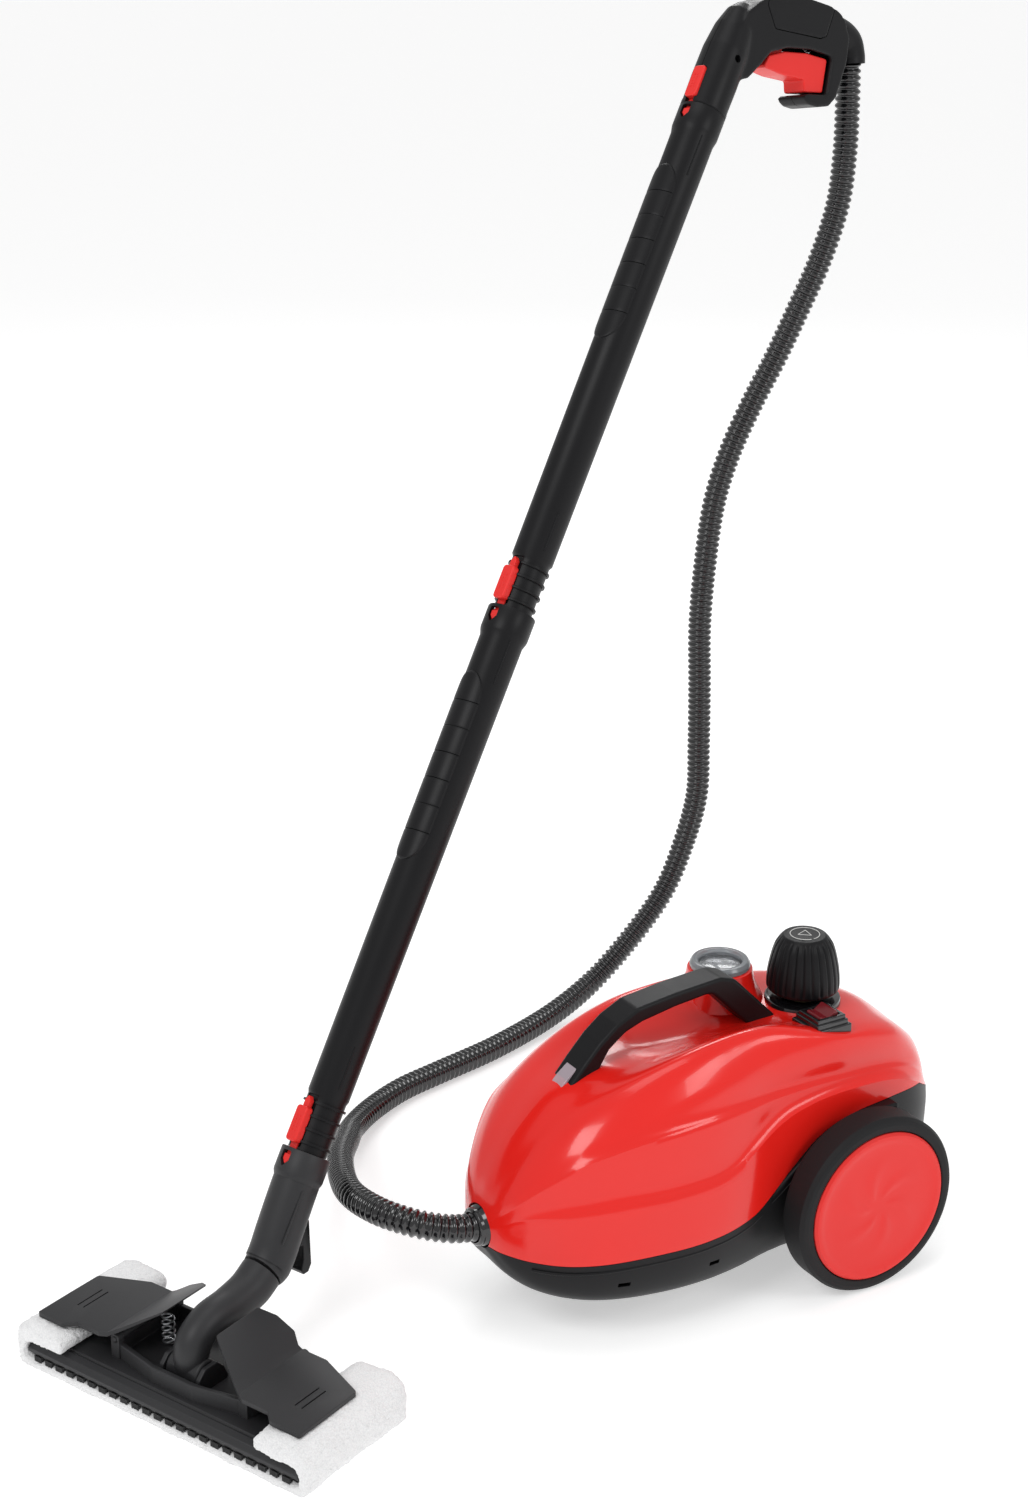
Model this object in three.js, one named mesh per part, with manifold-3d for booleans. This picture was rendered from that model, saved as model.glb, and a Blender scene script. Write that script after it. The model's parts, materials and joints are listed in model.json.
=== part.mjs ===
// Canister steam mop: a wheeled boiler, its hose, a two-tube wand with a steam gun, and a floor head.
// Millimetres, +Z up. The canister points along -Y, and the wheels' axle lies along X.

import * as THREE from 'three';
import { mergeVertices } from 'three/addons/utils/BufferGeometryUtils.js';
import Module from 'manifold-3d';

const wasm = await Module();
wasm.setup();

// ---- driving dimensions -------------------------------------------------

const GAP = 0.3; // clearance between neighbouring pieces
const WALL = 3; // moulded wall of the canister

const WHEEL_R = 80;
const AXLE_R = 4;
const CASTER_Y = -235;
const CASTER_R = 13;

const CAP_Y = 8; // the filler's axis, over the boiler
const GAUGE = [-42, -50];
const SWITCH = [52, -11];
const SOCKET_Z = 95; // height of the hose's socket

const HEAD_AT = [-6, -601, 0]; // middle of the head's front edge, on the floor
const HEAD_YAW = 22.8; // degrees
const HEAD_HALF = 143.5; // half the head's length
const SEAM = [124, 77]; // where the neck meets the elbow, behind and above HEAD_AT
const WAND_TILT = 54; // degrees, the wand above the floor
const WAND_ROLL = -12; // degrees, the wand's own turn about its length
const NECK_TOP = 101; // along the wand, from the seam
const TUBE_PITCH = 479.5; // collar to collar
const MIDDLE_TOP = NECK_TOP + TUBE_PITCH;
const UPPER_TOP = MIDDLE_TOP + TUBE_PITCH;
const HOSE_R = 12;

// ---- materials ----------------------------------------------------------

function finish(color, roughness, metalness = 0, opacity = 1) {
  return new THREE.MeshStandardMaterial({
    color,
    roughness,
    metalness,
    opacity,
    transparent: opacity < 1,
  });
}

const RED = finish(0xe3170f, 0.22);
const BLACK = finish(0x19191a, 0.5);
const GLOSS_BLACK = finish(0x0c0c0d, 0.2);
const GREY = finish(0x303031, 0.55);
const RUBBER = finish(0x202021, 0.75);
const STEEL = finish(0xb9bcc0, 0.3, 1);
const BRASS = finish(0xb08d4b, 0.35, 1);
const CLEAR = finish(0xdfe6ea, 0.08, 0, 0.35);
const SMOKED_RED = finish(0x7c1214, 0.15, 0, 0.85);
const DIAL = finish(0xf2f2ee, 0.6);
const CLOTH = finish(0xf4f4f4, 0.95);
const BRISTLE = finish(0x0d0d0e, 0.8);
const BEIGE = finish(0xcfc8b8, 0.5);

// ---- geometry helpers ---------------------------------------------------

const rad = THREE.MathUtils.degToRad;

/** Smooth value at `at` on a curve through [position, value] pairs. */
function value(keys, at) {
  const last = keys.length - 1;
  if (at <= keys[0][0]) return keys[0][1];
  if (at >= keys[last][0]) return keys[last][1];
  let i = 0;
  while (at > keys[i + 1][0]) i += 1;
  const slope = (k) => {
    const a = keys[Math.max(k - 1, 0)];
    const b = keys[Math.min(k + 1, last)];
    return (b[1] - a[1]) / (b[0] - a[0]);
  };
  const [x0, v0] = keys[i];
  const [x1, v1] = keys[i + 1];
  const h = x1 - x0;
  const t = (at - x0) / h;
  const s = 1 - t;
  return (
    v0 * s * s * (1 + 2 * t) + v1 * t * t * (3 - 2 * t) +
    h * t * s * (slope(i) * s - slope(i + 1) * t)
  );
}

/** One welded, outward-facing closed surface. */
function weld(geometry) {
  const bare = geometry.clone();
  bare.deleteAttribute('normal');
  bare.deleteAttribute('uv');
  const merged = mergeVertices(bare, 1e-3);
  const ids = merged.index.array;
  const p = merged.attributes.position;
  const corner = [new THREE.Vector3(), new THREE.Vector3(), new THREE.Vector3()];
  const kept = [];
  let volume = 0;
  for (let i = 0; i < ids.length; i += 3) {
    const [a, b, c] = [ids[i], ids[i + 1], ids[i + 2]];
    if (a === b || b === c || c === a) continue;
    kept.push([a, b, c]);
    [a, b, c].forEach((id, k) => corner[k].fromBufferAttribute(p, id));
    volume += corner[0].dot(corner[1].cross(corner[2]));
  }
  const faces = volume < 0 ? kept.map(([a, b, c]) => [a, c, b]) : kept;
  merged.setIndex(faces.flat());
  return merged;
}

function solid(geometry) {
  const welded = weld(geometry);
  return new wasm.Manifold(new wasm.Mesh({
    numProp: 3,
    vertProperties: new Float32Array(welded.attributes.position.array),
    triVerts: new Uint32Array(welded.index.array),
  }));
}

function surface(body) {
  const mesh = body.getMesh();
  const geometry = new THREE.BufferGeometry();
  geometry.setAttribute('position', new THREE.BufferAttribute(mesh.vertProperties, mesh.numProp));
  geometry.setIndex(new THREE.BufferAttribute(mesh.triVerts, 1));
  return geometry;
}

const join = (...bodies) => bodies.reduce((a, b) => a.add(b));
const cut = (body, ...tools) => tools.reduce((a, b) => a.subtract(b), body);

/** Rings of equal length become one closed skin. `tube` rings go out, then back inside. */
function loft(rings, closeEnds = true) {
  const n = rings[0].length;
  const positions = rings.flat().flatMap((q) => [q.x, q.y, q.z]);
  const index = [];
  const rows = closeEnds ? rings.length - 1 : rings.length;
  for (let r = 0; r < rows; r += 1) {
    const next = (r + 1) % rings.length;
    for (let k = 0; k < n; k += 1) {
      const l = (k + 1) % n;
      index.push(r * n + k, r * n + l, next * n + l, r * n + k, next * n + l, next * n + k);
    }
  }
  if (closeEnds) {
    [0, rings.length - 1].forEach((r) => {
      const centre = rings[r].reduce((s, q) => s.add(q), new THREE.Vector3()).divideScalar(n);
      const id = positions.length / 3;
      positions.push(centre.x, centre.y, centre.z);
      for (let k = 0; k < n; k += 1) {
        const l = (k + 1) % n;
        const fan = [id, r * n + l, r * n + k];
        index.push(...(r === 0 ? fan : fan.reverse()));
      }
    });
  }
  const geometry = new THREE.BufferGeometry();
  geometry.setAttribute('position', new THREE.Float32BufferAttribute(positions, 3));
  geometry.setIndex(index);
  return geometry;
}

const TURN = {
  x: new THREE.Matrix4().makeRotationY(Math.PI / 2),
  y: new THREE.Matrix4().makeRotationX(-Math.PI / 2),
  z: new THREE.Matrix4(),
};

/** Solid of revolution: `profile` holds [radius, height]; the height runs along `axis`. */
function lathe(profile, { axis = 'z', at = [0, 0, 0], segments = 24, closed = false } = {}) {
  const points = profile.map(([r, h]) => new THREE.Vector2(r, h));
  if (closed) points.push(points[0].clone());
  const geometry = new THREE.LatheGeometry(points, segments);
  geometry.rotateX(Math.PI / 2);
  return geometry.applyMatrix4(TURN[axis]).translate(...at);
}

function cylinder(r, from, to, options = {}) {
  return lathe([[0, from], [r, from], [r, to], [0, to]], options);
}

function ringTube(inner, outer, from, to, options = {}) {
  const profile = [[inner, from], [outer, from], [outer, to], [inner, to]];
  return lathe(profile, { ...options, closed: true });
}

function box([x0, x1], [y0, y1], [z0, z1]) {
  const geometry = new THREE.BoxGeometry(x1 - x0, y1 - y0, z1 - z0);
  return geometry.translate((x0 + x1) / 2, (y0 + y1) / 2, (z0 + z1) / 2);
}

/** Plan, side or front outlines swept straight; `plane` names the outline's two axes. */
function prism(plane, outline, from, to, bevel = 0) {
  const shape = new THREE.Shape(outline.map(([a, b]) => new THREE.Vector2(a, b)));
  const geometry = new THREE.ExtrudeGeometry(shape, {
    depth: to - from - 2 * bevel,
    bevelEnabled: bevel > 0,
    bevelThickness: bevel,
    bevelSize: bevel,
    bevelOffset: -bevel,
    bevelSegments: 1,
    curveSegments: 8,
  });
  geometry.translate(0, 0, from + bevel);
  const e = (x, y, z) => new THREE.Vector3(x, y, z);
  const basis = {
    xy: [e(1, 0, 0), e(0, 1, 0), e(0, 0, 1)],
    yz: [e(0, 1, 0), e(0, 0, 1), e(1, 0, 0)],
    zx: [e(0, 0, 1), e(1, 0, 0), e(0, 1, 0)],
  }[plane];
  return geometry.applyMatrix4(new THREE.Matrix4().makeBasis(...basis));
}

const curve = (points) => new THREE.CatmullRomCurve3(points.map((p) => new THREE.Vector3(...p)));

/** A round bar of varying radius along a path; a `bore` makes it a pipe. */
function bar(path, radius, { bore = 0, steps = 12, segments = 16 } = {}) {
  const frames = path.computeFrenetFrames(steps, false);
  const ring = (i, r) => {
    const centre = path.getPointAt(i / steps);
    return Array.from({ length: segments }, (_, k) => {
      const a = (k / segments) * 2 * Math.PI;
      return centre.clone()
        .addScaledVector(frames.normals[i], r * Math.cos(a))
        .addScaledVector(frames.binormals[i], r * Math.sin(a));
    });
  };
  const size = (i) => (typeof radius === 'number' ? radius : radius(i / steps));
  const ids = Array.from({ length: steps + 1 }, (_, i) => i);
  const outside = ids.map((i) => ring(i, size(i)));
  if (!bore) return loft(outside);
  const inside = ids.reverse().map((i) => ring(i, bore));
  return loft([...outside, ...inside], false);
}

/** Coil spring along Z from `from` to `to`. */
function coil(r, wire, from, to, turns, at = [0, 0]) {
  const steps = turns * 12;
  const points = Array.from({ length: steps + 1 }, (_, i) => {
    const a = (i / 12) * 2 * Math.PI;
    const z = from + wire + ((to - from - 2 * wire) * i) / steps;
    return new THREE.Vector3(at[0] + r * Math.cos(a), at[1] + r * Math.sin(a), z);
  });
  const path = new THREE.CatmullRomCurve3(points);
  const shape = new THREE.Shape().absarc(0, 0, wire, 0, 2 * Math.PI);
  return new THREE.ExtrudeGeometry(shape, {
    steps: turns * 8,
    curveSegments: 3,
    extrudePath: path,
    bevelEnabled: false,
  });
}

function piece(name, body, material, parent) {
  const geometry = body.isBufferGeometry ? weld(body) : surface(body);
  const mesh = new THREE.Mesh(geometry, material);
  mesh.name = name;
  parent.add(mesh);
  return mesh;
}

// ---- canister hull ------------------------------------------------------

const STATIONS = [
  -318, -311, -300, -284, -262, -235, -200, -160, -120, -85, -55, -25, 10, 45, 75, 98, 115, 127,
];
const WIDTH = [
  [-318, 12], [-311, 31], [-297, 52], [-272, 75], [-238, 92], [-192, 102], [-148, 104],
  [-112, 99], [-78, 91], [-40, 87.5], [0, 86], [45, 82], [80, 73], [105, 57], [120, 36], [127, 10],
];
const BOTTOM = [
  [-318, 84], [-307, 62], [-285, 46], [-240, 36], [-150, 31], [0, 30], [70, 32], [105, 46], [127, 88],
];
const BELT = [[-318, 94], [-200, 90], [-100, 96], [0, 112], [127, 116]];
const LOWER_CREASE = [
  [-318, 99], [-300, 118], [-242, 131], [-186, 132], [-135, 136], [-98, 154], [-57, 168],
  [0, 172], [60, 162], [127, 120],
];
const UPPER_CREASE = [
  [-318, 103], [-300, 132], [-270, 162], [-250, 172], [-210, 181], [-145, 185], [-75, 183],
  [-18, 182], [45, 175], [85, 160], [127, 123],
];
const SHOULDER = [
  [-318, 106], [-307, 130], [-292, 154], [-272, 176], [-248, 195], [-215, 213], [-180, 226],
  [-140, 235], [-95, 238.5], [-60, 235.5], [-30, 227], [0, 219], [35, 213.5], [62, 204], [88, 186],
  [110, 163], [127, 127],
];
const CROWN = [
  [-318, 107], [-307, 133], [-292, 158], [-272, 181], [-248, 201], [-218, 214], [-185, 217],
  [-145, 214], [-100, 213], [-50, 217.5], [0, 220], [40, 218], [64, 210], [88, 191], [110, 167],
  [127, 128],
];
const FULLNESS = [[-318, 0.5], [-110, 0.58], [-50, 0.72], [0, 0.84], [50, 0.72], [127, 0.5]];

// Where the deck's edge and the upper crease lie, as parts of the half width.
const DECK = [[-318, 0.57], [-120, 0.58], [-60, 0.68], [-10, 0.8], [30, 0.76], [127, 0.57]];
const LEDGE = [[-318, 0.88], [-110, 0.88], [-30, 0.93], [50, 0.92], [127, 0.88]];

/** Half of one cross-section, from the keel round to the crown. */
function halfSection(y, inset) {
  const w = Math.max(value(WIDTH, y) - inset, 2);
  const keel = value(BOTTOM, y) + inset;
  const belt = value(BELT, y);
  const low = value(LOWER_CREASE, y);
  const high = value(UPPER_CREASE, y);
  const shoulder = value(SHOULDER, y) - inset;
  const crown = value(CROWN, y) - inset;
  const deck = value(DECK, y) * w;
  const ledge = value(LEDGE, y) * w;
  return [
    [0, keel],
    [0.6 * w, keel],
    [0.84 * w, keel + 6],
    [0.95 * w, keel + 0.42 * (belt - keel)],
    [w, belt],
    [0.975 * w, low],
    [0.4875 * w + ledge / 2, low + 0.4 * (high - low)],
    [ledge, high],
    [0.35 * deck + 0.65 * ledge, high + value(FULLNESS, y) * (shoulder - high)],
    [deck, shoulder],
    [0.53 * deck, shoulder + 0.55 * (crown - shoulder)],
    [0, crown],
  ];
}

function hull(inset, stations = STATIONS) {
  const middle = (STATIONS[0] + STATIONS[STATIONS.length - 1]) / 2;
  const half = STATIONS[STATIONS.length - 1] - middle;
  const rings = stations.map((y) => {
    const placed = middle + (y - middle) * (1 - inset / half);
    const right = halfSection(y, inset);
    const left = right.slice(1, -1).reverse().map(([x, z]) => [-x, z]);
    return [...right, ...left].map(([x, z]) => new THREE.Vector3(x, placed, z));
  });
  return solid(loft(rings));
}

// Parting line between the red cover and the black base, seen from the side.
const PARTING = [
  [-330, 84], [-285, 81], [-218, 84], [-155, 85], [-112, 90], [-88, 101], [-62, 120],
  [-38, 137], [-8, 148], [46, 151], [90, 147], [140, 140],
];

function above(lift) {
  const line = PARTING.map(([y, z]) => [y, z + lift]);
  return solid(prism('yz', [...line, [140, 400], [-330, 400]], -160, 160));
}

const HULL = hull(0);
const CAVITY = hull(WALL, STATIONS.filter((y, i) => i % 2 === 0 || i > 14));
const HULL_CLEAR = hull(-GAP);
const SHELL = HULL.subtract(CAVITY);
const NOTCH = solid(cylinder(19, -345, -283, { axis: 'y', at: [0, 0, SOCKET_Z] }));

function bodyShell() {
  const pod = solid(cylinder(28.5, 212, 247, { at: [...GAUGE, 0] }));
  const cover = join(SHELL, cut(pod, CAVITY)).intersect(above(0));
  return cut(
    cover,
    NOTCH,
    solid(cylinder(22.2, 180, 260, { at: [...GAUGE, 0] })),
    solid(cylinder(22.5, 180, 260, { at: [0, CAP_Y, 0] })),
    solid(box([SWITCH[0] - 13, SWITCH[0] + 13], [SWITCH[1] - 11, SWITCH[1] + 11], [190, 250])),
    solid(box([-7, 7], [-239, -225], [180, 240])),
  );
}

function basePan() {
  const tray = cut(SHELL, above(-GAP));
  const posts = [[-38, -30], [38, -30], [-38, 46], [38, 46]].map(([x, y]) =>
    solid(cylinder(5, 31.5, 98.4, { at: [x, y, 0], segments: 12 })));
  const valvePost = solid(box([-12, 12], [-164, -136], [31.5, 90]));
  const casterBoss = solid(cylinder(12, 32.5, 54, { at: [0, CASTER_Y, 0], segments: 24 }));
  const side = [-1, 1].map((s) => {
    const ends = s > 0 ? [66, 91] : [-91, -66];
    return solid(cylinder(10, ...ends, { axis: 'x', at: [0, 0, WHEEL_R], segments: 24 }));
  });
  const arch = PARTING.filter(([y]) => y > -100 && y < 80);
  const lip = [
    ...arch.map(([y, z]) => [y, z - GAP]),
    ...arch.slice().reverse().map(([y, z]) => [y, z - 9]),
  ];
  const lips = [[-92, -79], [79, 92]].map(([a, b]) => solid(prism('yz', lip, a, b)));
  return cut(
    join(tray, ...posts, valvePost, casterBoss, ...side, ...lips),
    NOTCH,
    solid(cylinder(AXLE_R + 0.3, -130, 130, { axis: 'x', at: [0, 0, WHEEL_R], segments: 24 })),
    solid(cylinder(4.3, 20, 50, { at: [0, CASTER_Y, 0], segments: 16 })),
    solid(box([-17.4, 17.4], [90, 140], [82.6, 107.4])),
  );
}

function carryHandle() {
  const outline = [
    [-242, 200], [-224, 221], [-208, 238], [-192, 250.5], [-172, 260], [-134, 264.5], [-88, 267.5],
    [-74, 263], [-12, 200], [-42, 200], [-86, 244], [-98, 256], [-134, 252.5], [-167, 247],
    [-183, 241.5], [-199, 230], [-220, 196],
  ];
  const grip = solid(prism('yz', outline, -13.5, 13.5, 3));
  const lensRoom = solid(box([-8, 8], [-250, -224], [180, 240]));
  return cut(grip, HULL_CLEAR, lensRoom);
}

function boilerTank() {
  return lathe([
    [12, 190.5], [30, 189], [56, 181], [66, 166], [66, 114], [57, 101], [30, 95], [0, 94],
    [0, 95.5], [30, 96.5], [56, 102.3], [64.5, 114.6], [64.5, 165.4], [55, 179.5], [30, 187.4],
    [12, 188.8],
  ], { at: [0, CAP_Y, 0], segments: 24, closed: true });
}

function heatingElement() {
  const ring = lathe(
    Array.from({ length: 6 }, (_, k) => {
      const a = (k / 6) * 2 * Math.PI;
      return [42 + 3 * Math.cos(a), 91 + 3 * Math.sin(a)];
    }),
    { at: [0, CAP_Y, 0], segments: 20, closed: true },
  );
  const legs = [-8, 8].map((x) =>
    solid(cylinder(2.2, 68, 91, { at: [x, CAP_Y - 41, 0], segments: 10 })));
  return join(solid(ring), ...legs);
}

function capKnob() {
  const rings = [
    [226.5, 21, 0], [229.8, 21.4, 0], [230.2, 29.2, 0], [233, 31.4, 1], [243, 31.2, 1.2],
    [256, 29.2, 1.2], [268, 26.4, 1.2], [275, 23.4, 1], [279.5, 19.2, 0.3], [281, 16.7, 0],
  ];
  const ribs = 24;
  const count = ribs * 2;
  const skin = loft(rings.map(([z, r, depth]) =>
    Array.from({ length: count }, (_, k) => {
      const a = (k / count) * 2 * Math.PI;
      const q = r - depth * (k % 2);
      return new THREE.Vector3(q * Math.cos(a), q * Math.sin(a), z);
    })));
  const room = solid(cylinder(19, 215, 233.6));
  return cut(solid(skin), room).translate([0, CAP_Y, 0]);
}

function switchHousing() {
  const [x, y] = SWITCH;
  const base = solid(box([x - 17.5, x + 17.5], [y - 18.5, y + 18.5], [196, 225.5]));
  const step = solid(box([x - 15.5, x + 15.5], [y - 16, y + 16], [225, 229.5]));
  const collar = solid(box([x - 13.5, x + 13.5], [y - 14.5, y + 14.5], [229, 233]));
  const body = solid(box([x - 12.5, x + 12.5], [y - 10.5, y + 10.5], [196, 226]));
  const room = solid(box([x - 10.3, x + 10.3], [y - 11.6, y + 11.6], [217, 240]));
  return cut(join(cut(join(base, step, collar), HULL_CLEAR), body), room);
}

function switchRocker() {
  const [x, y] = SWITCH;
  const side = [
    [y - 8.5, 233.5], [y - 2, 231.8], [y + 7.5, 238], [y + 10, 230], [y + 4, 222], [y - 4, 222],
    [y - 10, 229],
  ];
  return prism('yz', side, x - 10, x + 10);
}

function indicatorLens() {
  const outline = [[-242, 190], [-242, 204], [-237, 209.5], [-225, 219], [-225, 190]];
  const lens = solid(prism('yz', outline, -7.5, 7.5));
  const plug = solid(box([-6.6, 6.6], [-238.6, -225.4], [196, 212]));
  const skin = cut(lens, HULL_CLEAR);
  return join(skin, plug.intersect(solid(prism('yz', [
    [-240, 196], [-240, 208], [-225, 219], [-225, 196],
  ], -7, 7))));
}

function tyre() {
  return lathe([
    [60, 95], [76, 95], [80, 99], [80, 121], [77.5, 125], [74, 126], [68.1, 126], [68.1, 121.8],
    [60, 121.8],
  ], { axis: 'x', segments: 36, closed: true });
}

function wheelCore() {
  return lathe([
    [4.09, 92], [12, 92], [14, 96], [14, 108], [53, 108], [53, 97], [59.7, 97], [59.7, 121.5],
    [52, 121.5], [52, 113], [14, 113], [14, 120], [4.09, 120],
  ], { axis: 'x', segments: 24, closed: true });
}

function hubcap() {
  return lathe([
    [0, 121.9], [67.6, 121.9], [67.6, 126], [66, 127.8], [60, 127.8], [52, 126.4], [20, 126.2],
    [8, 127], [0, 127],
  ], { axis: 'x', segments: 32 });
}

function casterFork() {
  const plate = solid(cylinder(13, 27.6, 30.6, { at: [0, CASTER_Y, 0], segments: 24 }));
  const trail = solid(box([-13.5, 13.5], [CASTER_Y, CASTER_Y + 17], [27.6, 30.6]));
  const stem = solid(cylinder(4, 30, 46, { at: [0, CASTER_Y, 0], segments: 16 }));
  const arms = [[-13.5, -11], [11, 13.5]].map((x) =>
    solid(box(x, [CASTER_Y + 4, CASTER_Y + 17], [8, 28])));
  const pin = solid(cylinder(2, -12, 12, {
    axis: 'x', at: [0, CASTER_Y + 11, CASTER_R], segments: 16,
  }));
  return join(plate, trail, stem, ...arms, pin);
}

function steamHose(path) {
  const shape = new THREE.Shape().absarc(0, 0, HOSE_R, 0, 2 * Math.PI);
  return new THREE.ExtrudeGeometry(shape, {
    steps: 90,
    curveSegments: 4,
    extrudePath: path,
    bevelEnabled: false,
  });
}

function mirrored(geometry, side) {
  return side < 0 ? geometry.clone().scale(-1, 1, 1) : geometry;
}

const model = new THREE.Group();
const canister = new THREE.Group();
model.add(canister);

piece('body_shell', bodyShell(), RED, canister);
piece('base_pan', basePan(), BLACK, canister);
piece('carry_handle', carryHandle(), GREY, canister);
piece('boiler_tank', boilerTank(), STEEL, canister);
piece('heating_element', heatingElement(), STEEL, canister);
piece('filler_neck', ringTube(13, 17, 191, 225, { at: [0, CAP_Y, 0] }), BRASS, canister);
piece('cap_collar', cut(
  join(
    solid(ringTube(22, 33, 209, 223.5, { at: [0, CAP_Y, 0] })),
    solid(ringTube(17.4, 22.2, 209, 224.4, { at: [0, CAP_Y, 0] })),
  ),
  HULL_CLEAR.subtract(solid(cylinder(22.1, 204, 260, { at: [0, CAP_Y, 0] }))),
), GLOSS_BLACK, canister);
piece('cap_seal', ringTube(13.4, 16.8, 225.3, 227.4, { at: [0, CAP_Y, 0] }), RUBBER, canister);
piece('cap_plug', lathe(
  [[0, 204], [12.6, 204], [12.6, 227.7], [17.6, 227.7], [17.6, 233], [0, 233]],
  { at: [0, CAP_Y, 0] },
), BLACK, canister);
piece('cap_knob', capKnob(), BLACK, canister);

const gaugeAt = { at: [...GAUGE, 0] };
piece('gauge_body', lathe(
  [[0, 222], [21.8, 222], [21.8, 246], [19.9, 246], [19.9, 239.7], [0, 239.7]],
  gaugeAt,
), BLACK, canister);
piece('gauge_dial', cylinder(19.5, 240, 241.2, gaugeAt), DIAL, canister);
piece('gauge_needle', join(
  solid(cylinder(2.2, 241.8, 243.8, gaugeAt)),
  solid(prism('xy', [[-1.1, -5], [1.1, -5], [0.4, 15], [-0.4, 15]], 242, 243)
    .rotateZ(rad(120)).translate(...GAUGE, 0)),
), BLACK, canister);
piece('gauge_lens', cylinder(20, 246.4, 250.4, gaugeAt), CLEAR, canister);
piece('gauge_bezel', lathe([
  [20.4, 247.4], [26.2, 247.4], [26.2, 251.4], [24, 254.6], [20.4, 254.6], [18.6, 252.6],
  [18.6, 250.8], [20.4, 250.8],
], { ...gaugeAt, closed: true }), CLEAR, canister);

piece('switch_housing', switchHousing(), GLOSS_BLACK, canister);
piece('switch_rocker', switchRocker(), SMOKED_RED, canister);
piece('indicator_lens', indicatorLens(), CLEAR, canister);

piece('hose_socket', lathe([
  [12.9, -289], [18.6, -289], [18.6, -305], [16.8, -306.5], [16.8, -309], [18, -310.5],
  [18, -315], [16, -318], [16, -321], [14.6, -322.5], [12.9, -322.5],
], { axis: 'y', at: [0, 0, SOCKET_Z], segments: 18, closed: true }), BLACK, canister);
piece('power_inlet', cut(
  solid(box([-17, 17], [112, 128], [83, 107])),
  solid(box([-13, 13], [118, 130], [86, 104])),
), BLACK, canister);

piece('axle', cylinder(AXLE_R, -119.5, 119.5, {
  axis: 'x', at: [0, 0, WHEEL_R], segments: 24,
}), STEEL, canister);
[['near', 1], ['far', -1]].forEach(([name, side]) => {
  const wheel = new THREE.Group();
  wheel.position.set(0, 0, WHEEL_R);
  canister.add(wheel);
  piece(`wheel_${name}`, mirrored(wheelCore(), side), BLACK, wheel);
  piece(`tyre_${name}`, mirrored(tyre(), side), RUBBER, wheel);
  piece(`hubcap_${name}`, mirrored(hubcap(), side), RED, wheel);
});
piece('caster_fork', casterFork(), GREY, canister);
piece('caster_wheel', ringTube(2.3, CASTER_R, -10, 10, {
  axis: 'x', at: [0, CASTER_Y + 11, CASTER_R], segments: 28,
}), RUBBER, canister);

piece('thermostat', cylinder(8, -64, -56.6, {
  axis: 'y', at: [24, 0, 140], segments: 16,
}), BEIGE, canister);
piece('solenoid_valve', join(
  solid(box([-16, 16], [-172, -128], [90.4, 122])),
  solid(cylinder(11, -150, -132, { axis: 'y', at: [0, 0, 130], segments: 20 })),
  solid(cylinder(4, -294, -170, { axis: 'y', at: [0, 0, SOCKET_Z + 4], segments: 12 })),
), BRASS, canister);
piece('steam_pipe', bar(
  curve([[0, -55.5, 176], [0, -70, 184], [0, -96, 186], [0, -120, 170], [0, -124, 130]]),
  3, { steps: 12, segments: 10 },
), BRASS, canister);

const hosePath = curve([
  [0, -297, 95], [0, -311, 95], [0, -325, 95.6], [-4, -345, 99], [-19, -368, 104], [-52, -385, 105],
  [-105, -382, 96], [-190, -346, 71], [-268, -300, 41], [-318, -268, 22], [-354, -229, 14],
  [-377, -184, 12.6], [-390, -133, 12.6], [-408, -58, 12.8], [-435, 23, 16], [-449, 84, 35],
  [-446, 130, 76], [-444, 168, 120], [-440, 189, 170], [-433, 200, 226], [-433, 201, 283],
  [-433, 200, 348], [-434, 199, 412], [-432, 202, 476], [-428, 208, 538], [-420, 219, 589],
  [-409, 236, 639], [-395, 254, 688], [-381, 268, 735], [-367, 281, 783], [-355, 290, 836],
  [-349, 291, 885], [-346, 289, 930], [-346, 288, 965],
]);
piece('steam_hose', steamHose(hosePath), GLOSS_BLACK, canister);

// ---- floor head ---------------------------------------------------------

const NOSE = [40, 32]; // the elbow's pitch pivot, behind and above HEAD_AT
const CLAMP_PIN = [68, 41]; // clamp hinge, out from the middle and up

const head = new THREE.Group();
head.position.set(...HEAD_AT);
head.rotation.z = rad(HEAD_YAW);
model.add(head);

const wandPlane = new THREE.Group();
wandPlane.position.set(0, ...SEAM);
wandPlane.rotation.x = rad(WAND_TILT - 90);
head.add(wandPlane);
const wand = new THREE.Group();
wand.rotation.z = rad(WAND_ROLL);
wandPlane.add(wand);

const WAND = new THREE.Matrix4().makeTranslation(0, ...SEAM)
  .multiply(new THREE.Matrix4().makeRotationX(rad(WAND_TILT - 90)))
  .multiply(new THREE.Matrix4().makeRotationZ(rad(WAND_ROLL)));

const upright = (points) => curve(points.map(([d, z]) => [0, d, z]));
const across = (r, x0, x1, [d, z], segments = 24) =>
  cylinder(r, x0, x1, { axis: 'x', at: [0, d, z], segments });
const along = (r, d0, d1, [x, z], segments = 16) =>
  cylinder(r, d0, d1, { axis: 'y', at: [x, 0, z], segments });

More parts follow.
